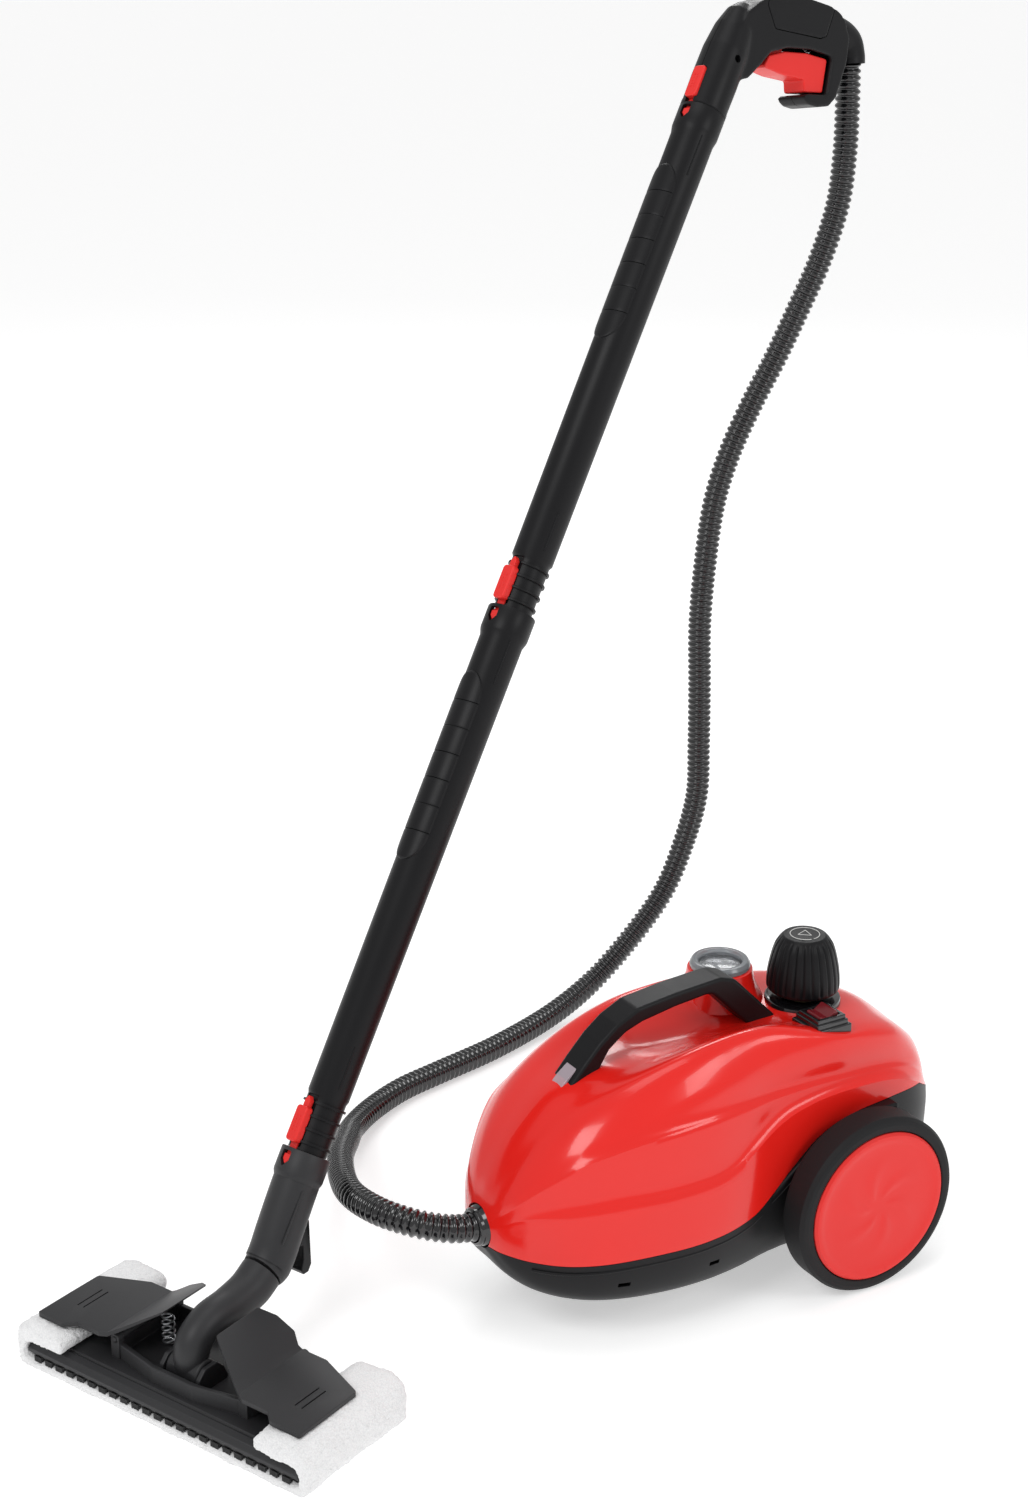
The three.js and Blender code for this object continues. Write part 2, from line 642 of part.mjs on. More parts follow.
function headPlate() {
  const section = [
    [4, 7.4], [4, 13.6], [0, 13.6], [0, 17], [5, 21], [14, 23], [112, 23], [118, 19], [118, 7.4],
  ];
  const slab = solid(prism('yz', section, -HEAD_HALF, HEAD_HALF));
  const rim = [[-73, 27], [-21, 17], [21, 17], [73, 27], [73, 98], [-73, 98]];
  const room = [[-69, 31], [-23, 22], [23, 22], [69, 31], [69, 94], [-69, 94]];
  const tub = cut(solid(prism('xy', rim, 21, 37)), solid(prism('xy', room, 23, 60)));
  const cheeks = [[-21.5, -17.3], [17.3, 21.5]].map(([a, b]) => solid(prism('yz', [
    [22, 22], [26, 36], [33, 43], [47, 43], [54, 36], [60, 22],
  ], a, b)));
  const ears = [-1, 1].flatMap((s) => [[24, 30.5], [92, 98.5]].map(([a, b]) => {
    const [x, z] = CLAMP_PIN;
    const post = solid(box([s * x - 4.5, s * x + 4.5], [a, b], [22, z]));
    return join(post, solid(along(4.5, a, b, [s * x, z])));
  }));
  const pinHoles = [-1, 1].map((s) =>
    solid(along(2.3, 20, 103, [s * CLAMP_PIN[0], CLAMP_PIN[1]], 12)));
  return cut(
    join(slab, tub, ...cheeks, ...ears),
    ...pinHoles,
    solid(box([-16.9, 16.9], [10, 110], [23, 60])),
    solid(box([-19.4, 19.4], [62, 110], [23, 60])),
    solid(across(13.8, -16.9, 16.9, NOSE)),
    solid(across(4.3, -30, 30, NOSE, 16)),
    solid(cylinder(6, 0, 30, { at: [0, ...NOSE.slice(0, 1), 0], segments: 16 })),
  );
}

const elbowRadius = (t) => value([[0, 13], [0.2, 14.6], [0.45, 14.8], [0.85, 17.2], [1, 17.4]], t);

function neckElbow() {
  const path = upright([
    [40, 32], [40.5, 47], [47, 58], [62, 65], [85, 65.5], [108, 68.8], [123.5, 76.7],
  ]);
  const skin = solid(bar(path, elbowRadius, { steps: 8, segments: 16 }));
  const bore = solid(bar(path, 7, { steps: 8, segments: 8 }));
  const drum = solid(across(13, -16.5, 16.5, NOSE));
  const stubs = solid(across(4, -21, 21, NOSE, 16));
  const mouth = solid(cylinder(7, 10, 34, { at: [0, NOSE[0], 0], segments: 12 }));
  return cut(join(skin, drum, stubs), bore, mouth);
}

function bristleStrip() {
  const bar0 = solid(box([-138, 138], [-1, 3.6], [10.4, 13.2]));
  const teeth = Array.from({ length: 23 }, (_, i) => {
    const x = -132 + i * 12;
    return solid(box([x - 3.8, x + 3.8], [-1, 3.6], [7.5, 10.6]));
  });
  return join(bar0, ...teeth);
}

/** The right-hand clamp; the left one mirrors it. */
function clamp() {
  const [x, z] = CLAMP_PIN;
  const front = [[139, 43], [66, 46], [29, 70.5], [27, 73.5], [64, 50], [139, 47]];
  const plan = [
    [28, 40], [58, 24], [76, 15], [101, 16], [110, 8], [139, 9], [138, 76], [94, 93], [66, 92],
    [56, 99], [40, 97], [27, 88],
  ];
  const sheet = solid(prism('zx', front.map(([u, h]) => [h, u]), 0, 110))
    .intersect(solid(prism('xy', plan, 30, 90)));
  const barrel = solid(along(3.6, 31, 91.5, [x, z]));
  const rib = solid(box([x - 1.8, x + 1.8], [33, 89], [z, 48]));
  const pins = solid(along(2, 25, 97.5, [x, z], 12));
  return surface(join(sheet, barrel, rib, pins));
}

function mopCloth() {
  const half = [
    [149, 0], [152, 3], [153, 26], [150, 38], [140, 42.6], [106, 42.6], [99, 36], [99, 24],
    [144.3, 23.6], [144.3, 7.1],
  ];
  const left = half.slice().reverse().map(([u, z]) => [-u, z]);
  const profile = [...half, ...left].map(([u, z]) => [z, u]);
  return prism('zx', profile, -4, 120);
}

const SPRING_AT = [46, 62];

piece('neck_elbow', neckElbow(), GREY, head);
piece('head_plate', headPlate(), GREY, head);
piece('bristle_strip', bristleStrip(), BRISTLE, head);
[['right', 1], ['left', -1]].forEach(([name, side]) => {
  piece(`clamp_${name}`, mirrored(clamp(), side), GREY, head);
  piece(`clamp_spring_${name}`, coil(5, 0.9, 23.4, 54.5, 4, [
    side * SPRING_AT[0], SPRING_AT[1],
  ]), STEEL, head);
});
piece('mop_cloth', mopCloth(), CLOTH, head);

// ---- wand ---------------------------------------------------------------

const latchRoom = (top) => solid(box([-6.7, 6.7], [-30, -13.9], [top + 2, top + 46]));
const latchRelief = (top) => solid(box([-4.5, 4.5], [-30, -12.9], [top - 16, top + 3]));
const catchWindow = (top) => solid(box([-4.7, 4.7], [-30, -14.9], [top - 16, top - 3]));

/** Socket bores cut in the upper end of a pipe whose collar ends at `top`. */
function socket(top) {
  return join(
    solid(cylinder(17.4, top - 20, top + 5, { segments: 20 })),
    solid(cylinder(15, top - 42, top - 19, { segments: 20 })),
    catchWindow(top),
  );
}

/** Wand tube from the collar top `bottom` of the pipe below to its own collar top. */
function tube(bottom, top, lowRadius, highRadius) {
  const ribs = [6, 17, 28, 39].flatMap((step) => {
    const z = bottom + step;
    return [[16.5, z], [18.4, z], [18.4, z + 2.2], [16.5, z + 2.2]];
  });
  const skin = solid(lathe([
    [0, bottom - 38], [14.6, bottom - 38], [14.6, bottom + GAP], [16.5, bottom + GAP], ...ribs,
    [16.5, bottom + 46], [lowRadius, bottom + 49], [highRadius, top - 26], [21, top - 21],
    [21, top], [0, top],
  ], { segments: 20 }));
  const bore = solid(cylinder(12.4, bottom - 50, top - 30, { segments: 20 }));
  return cut(skin, bore, socket(top), latchRoom(bottom), latchRelief(bottom));
}

function neckPipe() {
  const path = upright([
    [125, 77.5], [131.3, 80.7], [138.6, 89.6], [146.6, 103], [165, 132], [183.4, 158.7],
  ]);
  const skin = solid(bar(path, (t) => 17.6 + 1.9 * Math.min(t * 5, 1), { steps: 8, segments: 20 }));
  const collar = solid(cylinder(21, NECK_TOP - 20, NECK_TOP, { segments: 20 })
    .applyMatrix4(WAND));
  const flat = solid(cylinder(40, NECK_TOP, NECK_TOP + 30, { segments: 12 }).applyMatrix4(WAND));
  const bore = solid(bar(path, 12.4, { steps: 8, segments: 14 }));
  return cut(join(skin, collar), flat, bore, placed(socket(NECK_TOP)));
}

/** A solid built along the wand, moved into the head's frame. */
function placed(body) {
  return solid(surface(body).applyMatrix4(WAND));
}

function parkingHook() {
  const side = [
    [166, 102], [175, 104], [176, 62], [172, 56], [166, 56], [163, 61], [166, 70], [166, 84],
    [154, 84], [154, 96], [166, 96],
  ];
  const hook = solid(prism('yz', side, -8, 8, 1));
  const path = upright([
    [125, 77.5], [131.3, 80.7], [138.6, 89.6], [146.6, 103], [165, 132], [183.4, 158.7],
  ]);
  return cut(hook, solid(bar(path, 19.9, { steps: 14, segments: 28 })));
}

function latch(top, tip) {
  const arm = solid(prism('yz', [
    [-15.2, top - 14], [-16.5, top - 14], [-19.2, top - 13], [-19.2, top - 6],
    [-16.5, top - 6], [-16.5, top + 3], [-22.5, top + 5], [-22.5, top + 12], [-15.2, top + 12],
  ], -4, 4));
  const pad = solid(box([-6.3, 6.3], [-22.8, -15.2], [top + 4.5, top + 34.5]));
  const nib = solid(box([-3, 3], [-20, -15.2], [top + 34, top + 44]));
  return tip ? join(arm, pad, nib) : join(arm, pad);
}

const GUN_SIDE = [
  [0, 1090], [22, 1108], [31, 1128], [37, 1144], [55, 1160], [82, 1175.5], [111, 1186.5],
  [121, 1153], [97, 1139], [95, 1134.5], [104, 1132.5], [116, 1137], [129, 1146], [134, 1158],
  [133, 1172], [131, 1194], [124, 1213], [111, 1224], [100, 1226], [86, 1223.5], [69, 1217],
  [43, 1207], [21, 1192], [5, 1176], [-6, 1157], [-8, 1110],
];
const GUN_ROOM = [
  [0, 1100], [16, 1120], [30, 1146], [54, 1166], [84, 1181], [112, 1190], [127, 1190],
  [126, 1196], [119, 1208], [109, 1219], [100, 1221], [87, 1217.5], [71, 1209.5], [47, 1195],
  [25, 1178.5], [9, 1163], [-3, 1146], [-3, 1110],
];
const TRIGGER = [
  [38, 1130], [64, 1138], [91, 1150], [97, 1141], [118.5, 1153.5], [109.5, 1183], [82, 1172],
  [56, 1157], [40, 1143],
];
const TRIGGER_ROOM = [
  [34, 1126], [64, 1137], [91, 1149.6], [96.6, 1140.4], [121, 1153], [113, 1196], [82, 1186],
  [56, 1171], [36, 1152],
];
const TRIGGER_PIN = [50, 1163];

function gunBody() {
  const barrel = solid(lathe([
    [0, UPPER_TOP - 38], [14.6, UPPER_TOP - 38], [14.6, UPPER_TOP + GAP], [21, UPPER_TOP + GAP],
    [21.5, UPPER_TOP + 30], [20.8, 1120], [18, 1143], [12.5, 1161], [5, 1170.5], [0, 1172],
  ], { segments: 20 }));
  const grip = solid(prism('yz', GUN_SIDE, -17, 17, 2));
  const cuff = solid(bar(cuffPath(), 15.3, { steps: 7, segments: 16 }));
  return cut(
    join(barrel, grip),
    solid(prism('yz', GUN_ROOM, -13.2, 13.2)),
    solid(prism('yz', TRIGGER_ROOM, -13.2, 13.2)),
    solid(cylinder(12.4, UPPER_TOP - 45, 1135, { segments: 24 })),
    solid(across(2.8, -30, 30, TRIGGER_PIN, 12)),
    solid(across(3.4, 12, 30, [-2, 1112], 14)),
    latchRoom(UPPER_TOP).subtract(solid(box([-9, 9], [-40, 0], [UPPER_TOP + 37, 1200]))),
    latchRelief(UPPER_TOP),
    cuff,
  );
}

function cuffPath() {
  return upright([[106, 1212], [122, 1219], [137, 1219.5], [146.5, 1212], [151, 1205.3]]);
}

function inlayBand(side, top, drop) {
  const outline = [
    [8 - side, 1240], [12 - side, 1176 - drop], [31 - side, 1163 - drop], [88 + side, 1190 - drop],
    [94 + side, 1196], [91 + side, 1240],
  ];
  return solid(prism('yz', outline, -top, top));
}

function gripParts() {
  const gun = gunBody();
  const core = (width, depth) => solid(prism(
    'yz', GUN_SIDE.map(([y, z]) => [y, z - depth]), -width, width,
  ));
  const inlay = cut(gun.intersect(inlayBand(0, 30, 0)), core(15.6, 1.6));
  const recess = cut(inlayBand(GAP, 30, 2 * GAP), core(15.2, 2.1));
  const shell = cut(gun, recess);
  const half = (a, b) => shell.intersect(solid(box([a, b], [-60, 200], [900, 1300])));
  return { inlay, left: half(-40, -0.15), right: half(0.15, 40) };
}

function trigger() {
  const body = solid(prism('yz', TRIGGER, -12.6, 12.6));
  const tab = solid(prism('yz', [
    [44, 1140], [62, 1150], [57, 1168], [46, 1167],
  ], -5, 5));
  return join(body, tab, solid(across(2.5, -16, 16, TRIGGER_PIN, 12)));
}

piece('neck_pipe', neckPipe(), GREY, head);
piece('parking_hook', parkingHook(), BLACK, head);
piece('lower_tube', tube(NECK_TOP, MIDDLE_TOP, 17.6, 19), BLACK, wand);
piece('upper_tube', tube(MIDDLE_TOP, UPPER_TOP, 18.2, 19.6), BLACK, wand);
piece('latch_lower', latch(NECK_TOP, true), RED, wand);
piece('latch_upper', latch(MIDDLE_TOP, true), RED, wand);
piece('gun_latch', latch(UPPER_TOP, false), RED, wand);
const grip = gripParts();
piece('gun_shell_left', grip.left, BLACK, wand);
piece('gun_shell_right', grip.right, BLACK, wand);
piece('grip_inlay', grip.inlay, BLACK, wand);
piece('trigger', trigger(), RED, wand);
piece('trigger_spring', coil(4, 0.8, 1180, 1212, 4, [0, 92]), STEEL, wand);
piece('microswitch', box([-5, 5], [62, 77], [1189, 1197]), BLACK, wand);
piece('nozzle_pipe', ringTube(2.5, 4, UPPER_TOP - 30, UPPER_TOP + 62, { segments: 16 }), BRASS, wand);
piece('hose_cuff', bar(cuffPath(), 14.8, { bore: 13, steps: 7, segments: 16 }), GLOSS_BLACK, wand);

// The origin is on the floor, under the middle of everything but the hose.
model.updateMatrixWorld(true);
const extent = new THREE.Box3();
model.traverse((object) => {
  if (object.isMesh && object.name !== 'steam_hose') extent.expandByObject(object, true);
});
const middle = extent.getCenter(new THREE.Vector3());
model.position.set(-middle.x, -middle.y, -extent.min.z);

export default model;
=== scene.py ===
"""Canister steam mop: the finished surfaces, hose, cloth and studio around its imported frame."""

import json
import math

import bmesh
import bpy
from mathutils import Matrix, Vector, noise

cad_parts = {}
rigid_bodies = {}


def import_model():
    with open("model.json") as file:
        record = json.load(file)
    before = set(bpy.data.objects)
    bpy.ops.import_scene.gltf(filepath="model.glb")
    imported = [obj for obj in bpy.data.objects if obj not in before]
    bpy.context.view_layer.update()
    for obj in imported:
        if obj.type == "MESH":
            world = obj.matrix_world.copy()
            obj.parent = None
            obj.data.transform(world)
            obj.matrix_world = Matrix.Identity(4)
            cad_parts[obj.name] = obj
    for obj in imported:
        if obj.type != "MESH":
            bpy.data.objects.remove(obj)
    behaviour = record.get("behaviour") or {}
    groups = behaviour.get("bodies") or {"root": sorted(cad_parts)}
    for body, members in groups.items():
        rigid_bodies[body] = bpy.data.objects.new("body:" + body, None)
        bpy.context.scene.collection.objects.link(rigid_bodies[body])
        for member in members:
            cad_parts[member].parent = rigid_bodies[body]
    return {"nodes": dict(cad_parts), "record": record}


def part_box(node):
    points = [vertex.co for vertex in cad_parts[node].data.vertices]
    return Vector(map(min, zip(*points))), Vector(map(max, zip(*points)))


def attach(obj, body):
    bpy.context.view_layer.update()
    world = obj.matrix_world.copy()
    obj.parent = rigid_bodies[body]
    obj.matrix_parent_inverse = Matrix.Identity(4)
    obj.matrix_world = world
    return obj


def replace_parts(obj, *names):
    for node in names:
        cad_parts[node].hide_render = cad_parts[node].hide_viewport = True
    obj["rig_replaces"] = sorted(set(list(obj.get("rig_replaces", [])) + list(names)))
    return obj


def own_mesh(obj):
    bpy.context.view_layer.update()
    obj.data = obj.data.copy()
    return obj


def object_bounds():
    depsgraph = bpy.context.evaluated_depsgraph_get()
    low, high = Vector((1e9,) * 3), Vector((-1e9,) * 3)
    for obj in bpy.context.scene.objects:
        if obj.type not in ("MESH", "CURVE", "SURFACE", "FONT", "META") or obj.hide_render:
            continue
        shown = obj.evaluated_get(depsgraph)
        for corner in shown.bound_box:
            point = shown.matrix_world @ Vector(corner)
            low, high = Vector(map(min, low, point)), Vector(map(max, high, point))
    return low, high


bl_info = {
    "name": "Canister Steam Mop",
    "version": (1, 0, 0),
    "blender": (4, 5, 0),
    "location": "View3D > Sidebar > Steam Mop",
    "description": "Builds the surfaces of a canister steam mop around its packed frame",
    "category": "Object",
}

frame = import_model()
CAD_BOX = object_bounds()
BODY_OF = {n: b for b, nodes in frame["record"]["behaviour"]["bodies"].items() for n in nodes}
JOINTS = {j["name"]: j for j in frame["record"]["behaviour"]["joints"]}
MM = 0.001
TAU = 2 * math.pi


# ---- the part's own frames, found from its nodes and joints -------------------

def basis(x, y, z, origin):
    """A frame whose axes and origin are given in the row's frame."""
    turn = Matrix((x, y, z)).transposed().to_4x4()
    return Matrix.Translation(origin) @ turn


def canister_frame():
    low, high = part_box("axle")
    return Matrix.Translation(((low.x + high.x) / 2, (low.y + high.y) / 2, 0))


def head_frame():
    across = Vector(JOINTS["head_pitch"]["axis"]).normalized()
    back = Vector(JOINTS["clamp_right_press"]["axis"]).normalized()
    pivot = Vector(JOINTS["head_pitch"]["pos_m"])
    origin = pivot - back * NOSE[0] * MM
    origin.z = 0
    return basis(across, back, Vector((0, 0, 1)), origin)


def wand_frame():
    low = Vector(JOINTS["lower_latch_press"]["pos_m"])
    high = Vector(JOINTS["gun_latch_press"]["pos_m"])
    up = (high - low).normalized()
    across = Vector(JOINTS["gun_latch_press"]["axis"]).normalized()
    return basis(across, up.cross(across), up, Vector(JOINTS["neck_swivel"]["pos_m"]))


# ---- driving sizes, in millimetres, in each frame -----------------------------

NOSE = (40, 32)
CLAMP_PIN = (68, 41)
SPRING_AT = (46, 62)
NECK_TOP = 101
TUBE_PITCH = 479.5
MIDDLE_TOP = NECK_TOP + TUBE_PITCH
UPPER_TOP = MIDDLE_TOP + TUBE_PITCH
CAP_Y = 8
GAUGE = (-42, -50)
SWITCH = (52, -11)
SOCKET_Z = 95
WHEEL_Z = 80
WALL = 2.6
CASTER_Y = -235
ROLLER_AT = (0, -224, 13)
GUN_SPRING_Y = 92
CLOTH_POCKET = (144.6, 7.0)

CANISTER = canister_frame()
HEAD = head_frame()
WAND = wand_frame()

WIDTH = (
    (-318, 12), (-311, 31), (-297, 52), (-272, 75), (-238, 92), (-192, 102), (-148, 104),
    (-112, 99), (-78, 91), (-40, 87.5), (0, 86), (45, 82), (80, 73), (105, 57), (120, 36), (127, 10),
)
BOTTOM = (
    (-318, 84), (-307, 62), (-285, 46), (-240, 36), (-150, 31), (0, 30), (70, 32), (105, 46),
    (127, 88),
)
BELT = ((-318, 94), (-200, 90), (-100, 96), (0, 112), (127, 116))
LOWER_CREASE = (
    (-318, 99), (-300, 118), (-242, 131), (-186, 132), (-135, 136), (-98, 154), (-57, 168),
    (0, 172), (60, 162), (127, 120),
)
UPPER_CREASE = (
    (-318, 103), (-300, 132), (-270, 162), (-250, 172), (-210, 181), (-145, 185), (-75, 183),
    (-18, 182), (45, 175), (85, 160), (127, 123),
)
SHOULDER = (
    (-318, 106), (-307, 130), (-292, 154), (-272, 176), (-248, 195), (-215, 213), (-180, 226),
    (-140, 235), (-95, 238.5), (-60, 235.5), (-30, 227), (0, 219), (35, 213.5), (62, 204),
    (88, 186), (110, 163), (127, 127),
)
CROWN = (
    (-318, 107), (-307, 133), (-292, 158), (-272, 181), (-248, 201), (-218, 214), (-185, 217),
    (-145, 214), (-100, 213), (-50, 217.5), (0, 220), (40, 218), (64, 210), (88, 191), (110, 167),
    (127, 128),
)
FULLNESS = ((-318, 0.5), (-110, 0.58), (-50, 0.72), (0, 0.84), (50, 0.72), (127, 0.5))
DECK = ((-318, 0.57), (-120, 0.58), (-60, 0.68), (-10, 0.8), (30, 0.76), (127, 0.57))
LEDGE = ((-318, 0.88), (-110, 0.88), (-30, 0.93), (50, 0.92), (127, 0.88))
PARTING = (
    (-330, 84), (-285, 81), (-218, 84), (-155, 85), (-112, 90), (-88, 101), (-62, 120),
    (-38, 137), (-8, 148), (46, 151), (90, 147), (140, 140),
)
HULL_ENDS = (-318, 127)

HOSE_ROUTE = (
    (0, -297, 95), (0, -311, 95), (0, -325, 95.6), (-4, -345, 99), (-19, -368, 104),
    (-52, -385, 105), (-105, -382, 96), (-190, -346, 71), (-268, -300, 41), (-318, -268, 22),
    (-354, -229, 14), (-377, -184, 12.6), (-390, -133, 12.6), (-408, -58, 12.8), (-435, 23, 16),
    (-449, 84, 35), (-446, 130, 76), (-444, 168, 120), (-440, 189, 170), (-433, 200, 226),
    (-433, 201, 283), (-433, 200, 348), (-434, 199, 412), (-432, 202, 476), (-428, 208, 538),
    (-420, 219, 589), (-409, 236, 639), (-395, 254, 688), (-381, 268, 735), (-367, 281, 783),
    (-355, 290, 836), (-349, 291, 885), (-346, 289, 930), (-346, 288, 965),
)


# ---- plain geometry -----------------------------------------------------------

def value(keys, at):
    """Smooth value at `at` on a curve through (position, value) pairs."""
    if at <= keys[0][0]:
        return keys[0][1]
    if at >= keys[-1][0]:
        return keys[-1][1]
    i = max(k for k in range(len(keys) - 1) if keys[k][0] <= at)

    def slope(k):
        a, b = keys[max(k - 1, 0)], keys[min(k + 1, len(keys) - 1)]
        return (b[1] - a[1]) / (b[0] - a[0])

    (x0, v0), (x1, v1) = keys[i], keys[i + 1]
    h = x1 - x0
    t = (at - x0) / h
    s = 1 - t
    ends = v0 * s * s * (1 + 2 * t) + v1 * t * t * (3 - 2 * t)
    return ends + h * t * s * (slope(i) * s - slope(i + 1) * t)


def ease(t):
    t = min(max(t, 0), 1)
    return t * t * (3 - 2 * t)


def spline(points, steps, before=None, after=None):
    """Points on a smooth curve through `points`, with `steps` between neighbours."""
    p = [Vector(q) for q in points]
    ext = [Vector(before) if before else 2 * p[0] - p[1], *p]
    ext.append(Vector(after) if after else 2 * p[-1] - p[-2])
    out = []
    for i in range(1, len(ext) - 2):
        a, b, c, d = ext[i - 1:i + 3]
        for k in range(steps):
            t = k / steps
            out.append(0.5 * (2 * b + (c - a) * t + (2 * a - 5 * b + 4 * c - d) * t * t
                              + (3 * b - a - 3 * c + d) * t ** 3))
    out.append(p[-1])
    return out


def even(points, count):
    """`count` points evenly spaced along a polyline."""
    run = [0.0]
    for a, b in zip(points, points[1:]):
        run.append(run[-1] + (b - a).length)
    out = []
    i = 0
    for k in range(count):
        s = run[-1] * k / (count - 1)
        while i < len(points) - 2 and run[i + 1] < s:
            i += 1
        h = run[i + 1] - run[i]
        t = (s - run[i]) / h if h > 0 else 0
        out.append(points[i].lerp(points[i + 1], min(max(t, 0), 1)))
    return out


def rounded(outline, radius, steps=4):
    """A closed outline with its corners rounded to `radius`, or less where a side is short."""
    out = []
    count = len(outline)
    for i, corner in enumerate(outline):
        q = Vector(corner)
        a = Vector(outline[i - 1]) - q
        b = Vector(outline[(i + 1) % count]) - q
        angle = a.angle(b)
        reach = min(radius / max(math.tan(angle / 2), 0.05), 0.45 * a.length, 0.45 * b.length)
        p0 = q + a.normalized() * reach
        p1 = q + b.normalized() * reach
        for k in range(steps + 1):
            t = k / steps
            out.append((1 - t) ** 2 * p0 + 2 * t * (1 - t) * q + t * t * p1)
    return out


def rectangle(us, vs, radius, steps=4):
    """A rectangle with rounded corners."""
    return rounded(((us[0], vs[0]), (us[1], vs[0]), (us[1], vs[1]), (us[0], vs[1])), radius, steps)


def shield(half, square, shoulder, point, radius):
    """A rounded five-sided outline, square at one end and pointed at the other."""
    corners = ((-half, square), (half, square), (half, shoulder), (0, point), (-half, shoulder))
    return rounded(corners, radius)


def circle(radius, count, z, at=(0, 0)):
    """Points evenly spaced round a level circle."""
    x, y = at
    return [Vector((x + radius * math.cos(TAU * k / count), y + radius * math.sin(TAU * k / count), z))
            for k in range(count)]


def coil(radius, turns, low, rise, steps, at):
    """The path of a spring's wire, wound upwards round `at`."""
    x, y = at
    angles = [TAU * turns * k / steps for k in range(steps + 1)]
    return [Vector((x + radius * math.cos(a), y + radius * math.sin(a), low + rise * k / steps))
            for k, a in enumerate(angles)]


# ---- modelling steps ----------------------------------------------------------

def activate(obj):
    for other in bpy.context.selected_objects:
        other.select_set(False)
    obj.select_set(True)
    bpy.context.view_layer.objects.active = obj
    return obj


def from_points(name, points, edges=(), faces=()):
    mesh = bpy.data.meshes.new(name)
    mesh.from_pydata([Vector(p) * MM for p in points], edges, faces)
    obj = bpy.data.objects.new(name, mesh)
    bpy.context.collection.objects.link(obj)
    return activate(obj)


def edit(*steps):
    """Runs operators, each a function and its settings, on everything in edit mode."""
    bpy.ops.object.mode_set(mode="EDIT")
    for operator, settings in steps:
        bpy.ops.mesh.select_all(action="SELECT")
        operator(**settings)
    bpy.ops.object.mode_set(mode="OBJECT")


def tidy_normals():
    edit(
        (bpy.ops.mesh.remove_doubles, {"threshold": 1e-6}),
        (bpy.ops.mesh.normals_make_consistent, {"inside": False}),
    )


def smooth(obj, degrees=35):
    activate(obj)
    bpy.ops.object.shade_smooth_by_angle(angle=math.radians(degrees))
    return obj


def modify(obj, kind, **settings):
    """Adds a modifier and applies it."""
    activate(obj)
    modifier = obj.modifiers.new(kind.title(), kind)
    for key, setting in settings.items():
        setattr(modifier, key, setting)
    bpy.ops.object.modifier_apply(modifier=modifier.name)
    return obj


def bevel(obj, width, segments=3, degrees=30):
    return modify(obj, "BEVEL", width=width * MM, segments=segments, limit_method="ANGLE",
                  angle_limit=math.radians(degrees), use_clamp_overlap=True)


def carve(obj, *tools, operation="DIFFERENCE"):
    """Cuts closed tools out of a piece, or joins them to it, and removes them."""
    for tool in tools:
        modify(obj, "BOOLEAN", object=tool, operation=operation, solver="EXACT")
        bpy.data.objects.remove(tool)
    return obj


def joined(name, *objs):
    activate(objs[0])
    for obj in objs:
        obj.select_set(True)
    bpy.ops.object.join()
    objs[0].name = name
    return objs[0]


def turned(name, profile, segments=64, axis="z", at=(0, 0, 0), closed=False):
    """A turned piece: `profile` holds (radius, height) along `axis`."""
    points = [(r, 0, h) for r, h in profile]
    count = len(points)
    edges = [(i, i + 1) for i in range(count - 1)]
    if closed:
        edges.append((count - 1, 0))
    obj = from_points(name, points, edges)
    edit((bpy.ops.mesh.spin, {
        "steps": segments, "angle": TAU, "center": (0, 0, 0), "axis": (0, 0, 1),
    }))
    tidy_normals()
    turns = {
        "x": Matrix.Rotation(math.pi / 2, 4, "Y"),
        "y": Matrix.Rotation(-math.pi / 2, 4, "X"),
        "z": Matrix.Identity(4),
    }
    obj.data.transform(Matrix.Translation(Vector(at) * MM) @ turns[axis])
    return smooth(obj)


def rod(name, radius, low, high, segments=32, axis="z", at=(0, 0, 0)):
    return turned(name, ((0, low), (radius, low), (radius, high), (0, high)), segments, axis, at)


PLANES = {
    "xy": lambda a, b, c: (a, b, c),
    "yz": lambda a, b, c: (c, a, b),
    "xz": lambda a, b, c: (a, c, b),
}


def extruded(name, outline, low, high, plane="yz"):
    """A flat outline pulled straight from `low` to `high` across its plane."""
    put = PLANES[plane]
    points = [put(p[0], p[1], low) for p in outline]
    obj = from_points(name, points, faces=[range(len(points))])
    pull = Vector(put(0, 0, high - low)) * MM
    edit((bpy.ops.mesh.extrude_region_move, {"TRANSFORM_OT_translate": {"value": pull}}))
    tidy_normals()
    return smooth(obj)


def moulded(name, outline, low, high, edge, segments=3, degrees=30, plane="yz"):
    """An extruded piece with eased edges."""
    return smooth(bevel(extruded(name, outline, low, high, plane), edge, segments, degrees), 40)


def block(name, xs, ys, zs, edge=0.0, segments=3):
    outline = [(xs[0], ys[0]), (xs[1], ys[0]), (xs[1], ys[1]), (xs[0], ys[1])]
    obj = extruded(name, outline, zs[0], zs[1], "xy")
    return smooth(bevel(obj, edge, segments)) if edge else obj


def skin(name, rows, around=False, ends=False):
    """A surface through rows of points; `around` closes each row and `ends` closes the skin."""
    n = len(rows[0])
    points = [p for row in rows for p in row]
    faces = []
    for r in range(len(rows) - 1):
        for k in range(n if around else n - 1):
            m = (k + 1) % n
            faces.append((r * n + k, r * n + m, (r + 1) * n + m, (r + 1) * n + k))
    if ends:
        faces.append(list(range(n))[::-1])
        faces.append([(len(rows) - 1) * n + k for k in range(n)])
    return from_points(name, points, faces=faces)


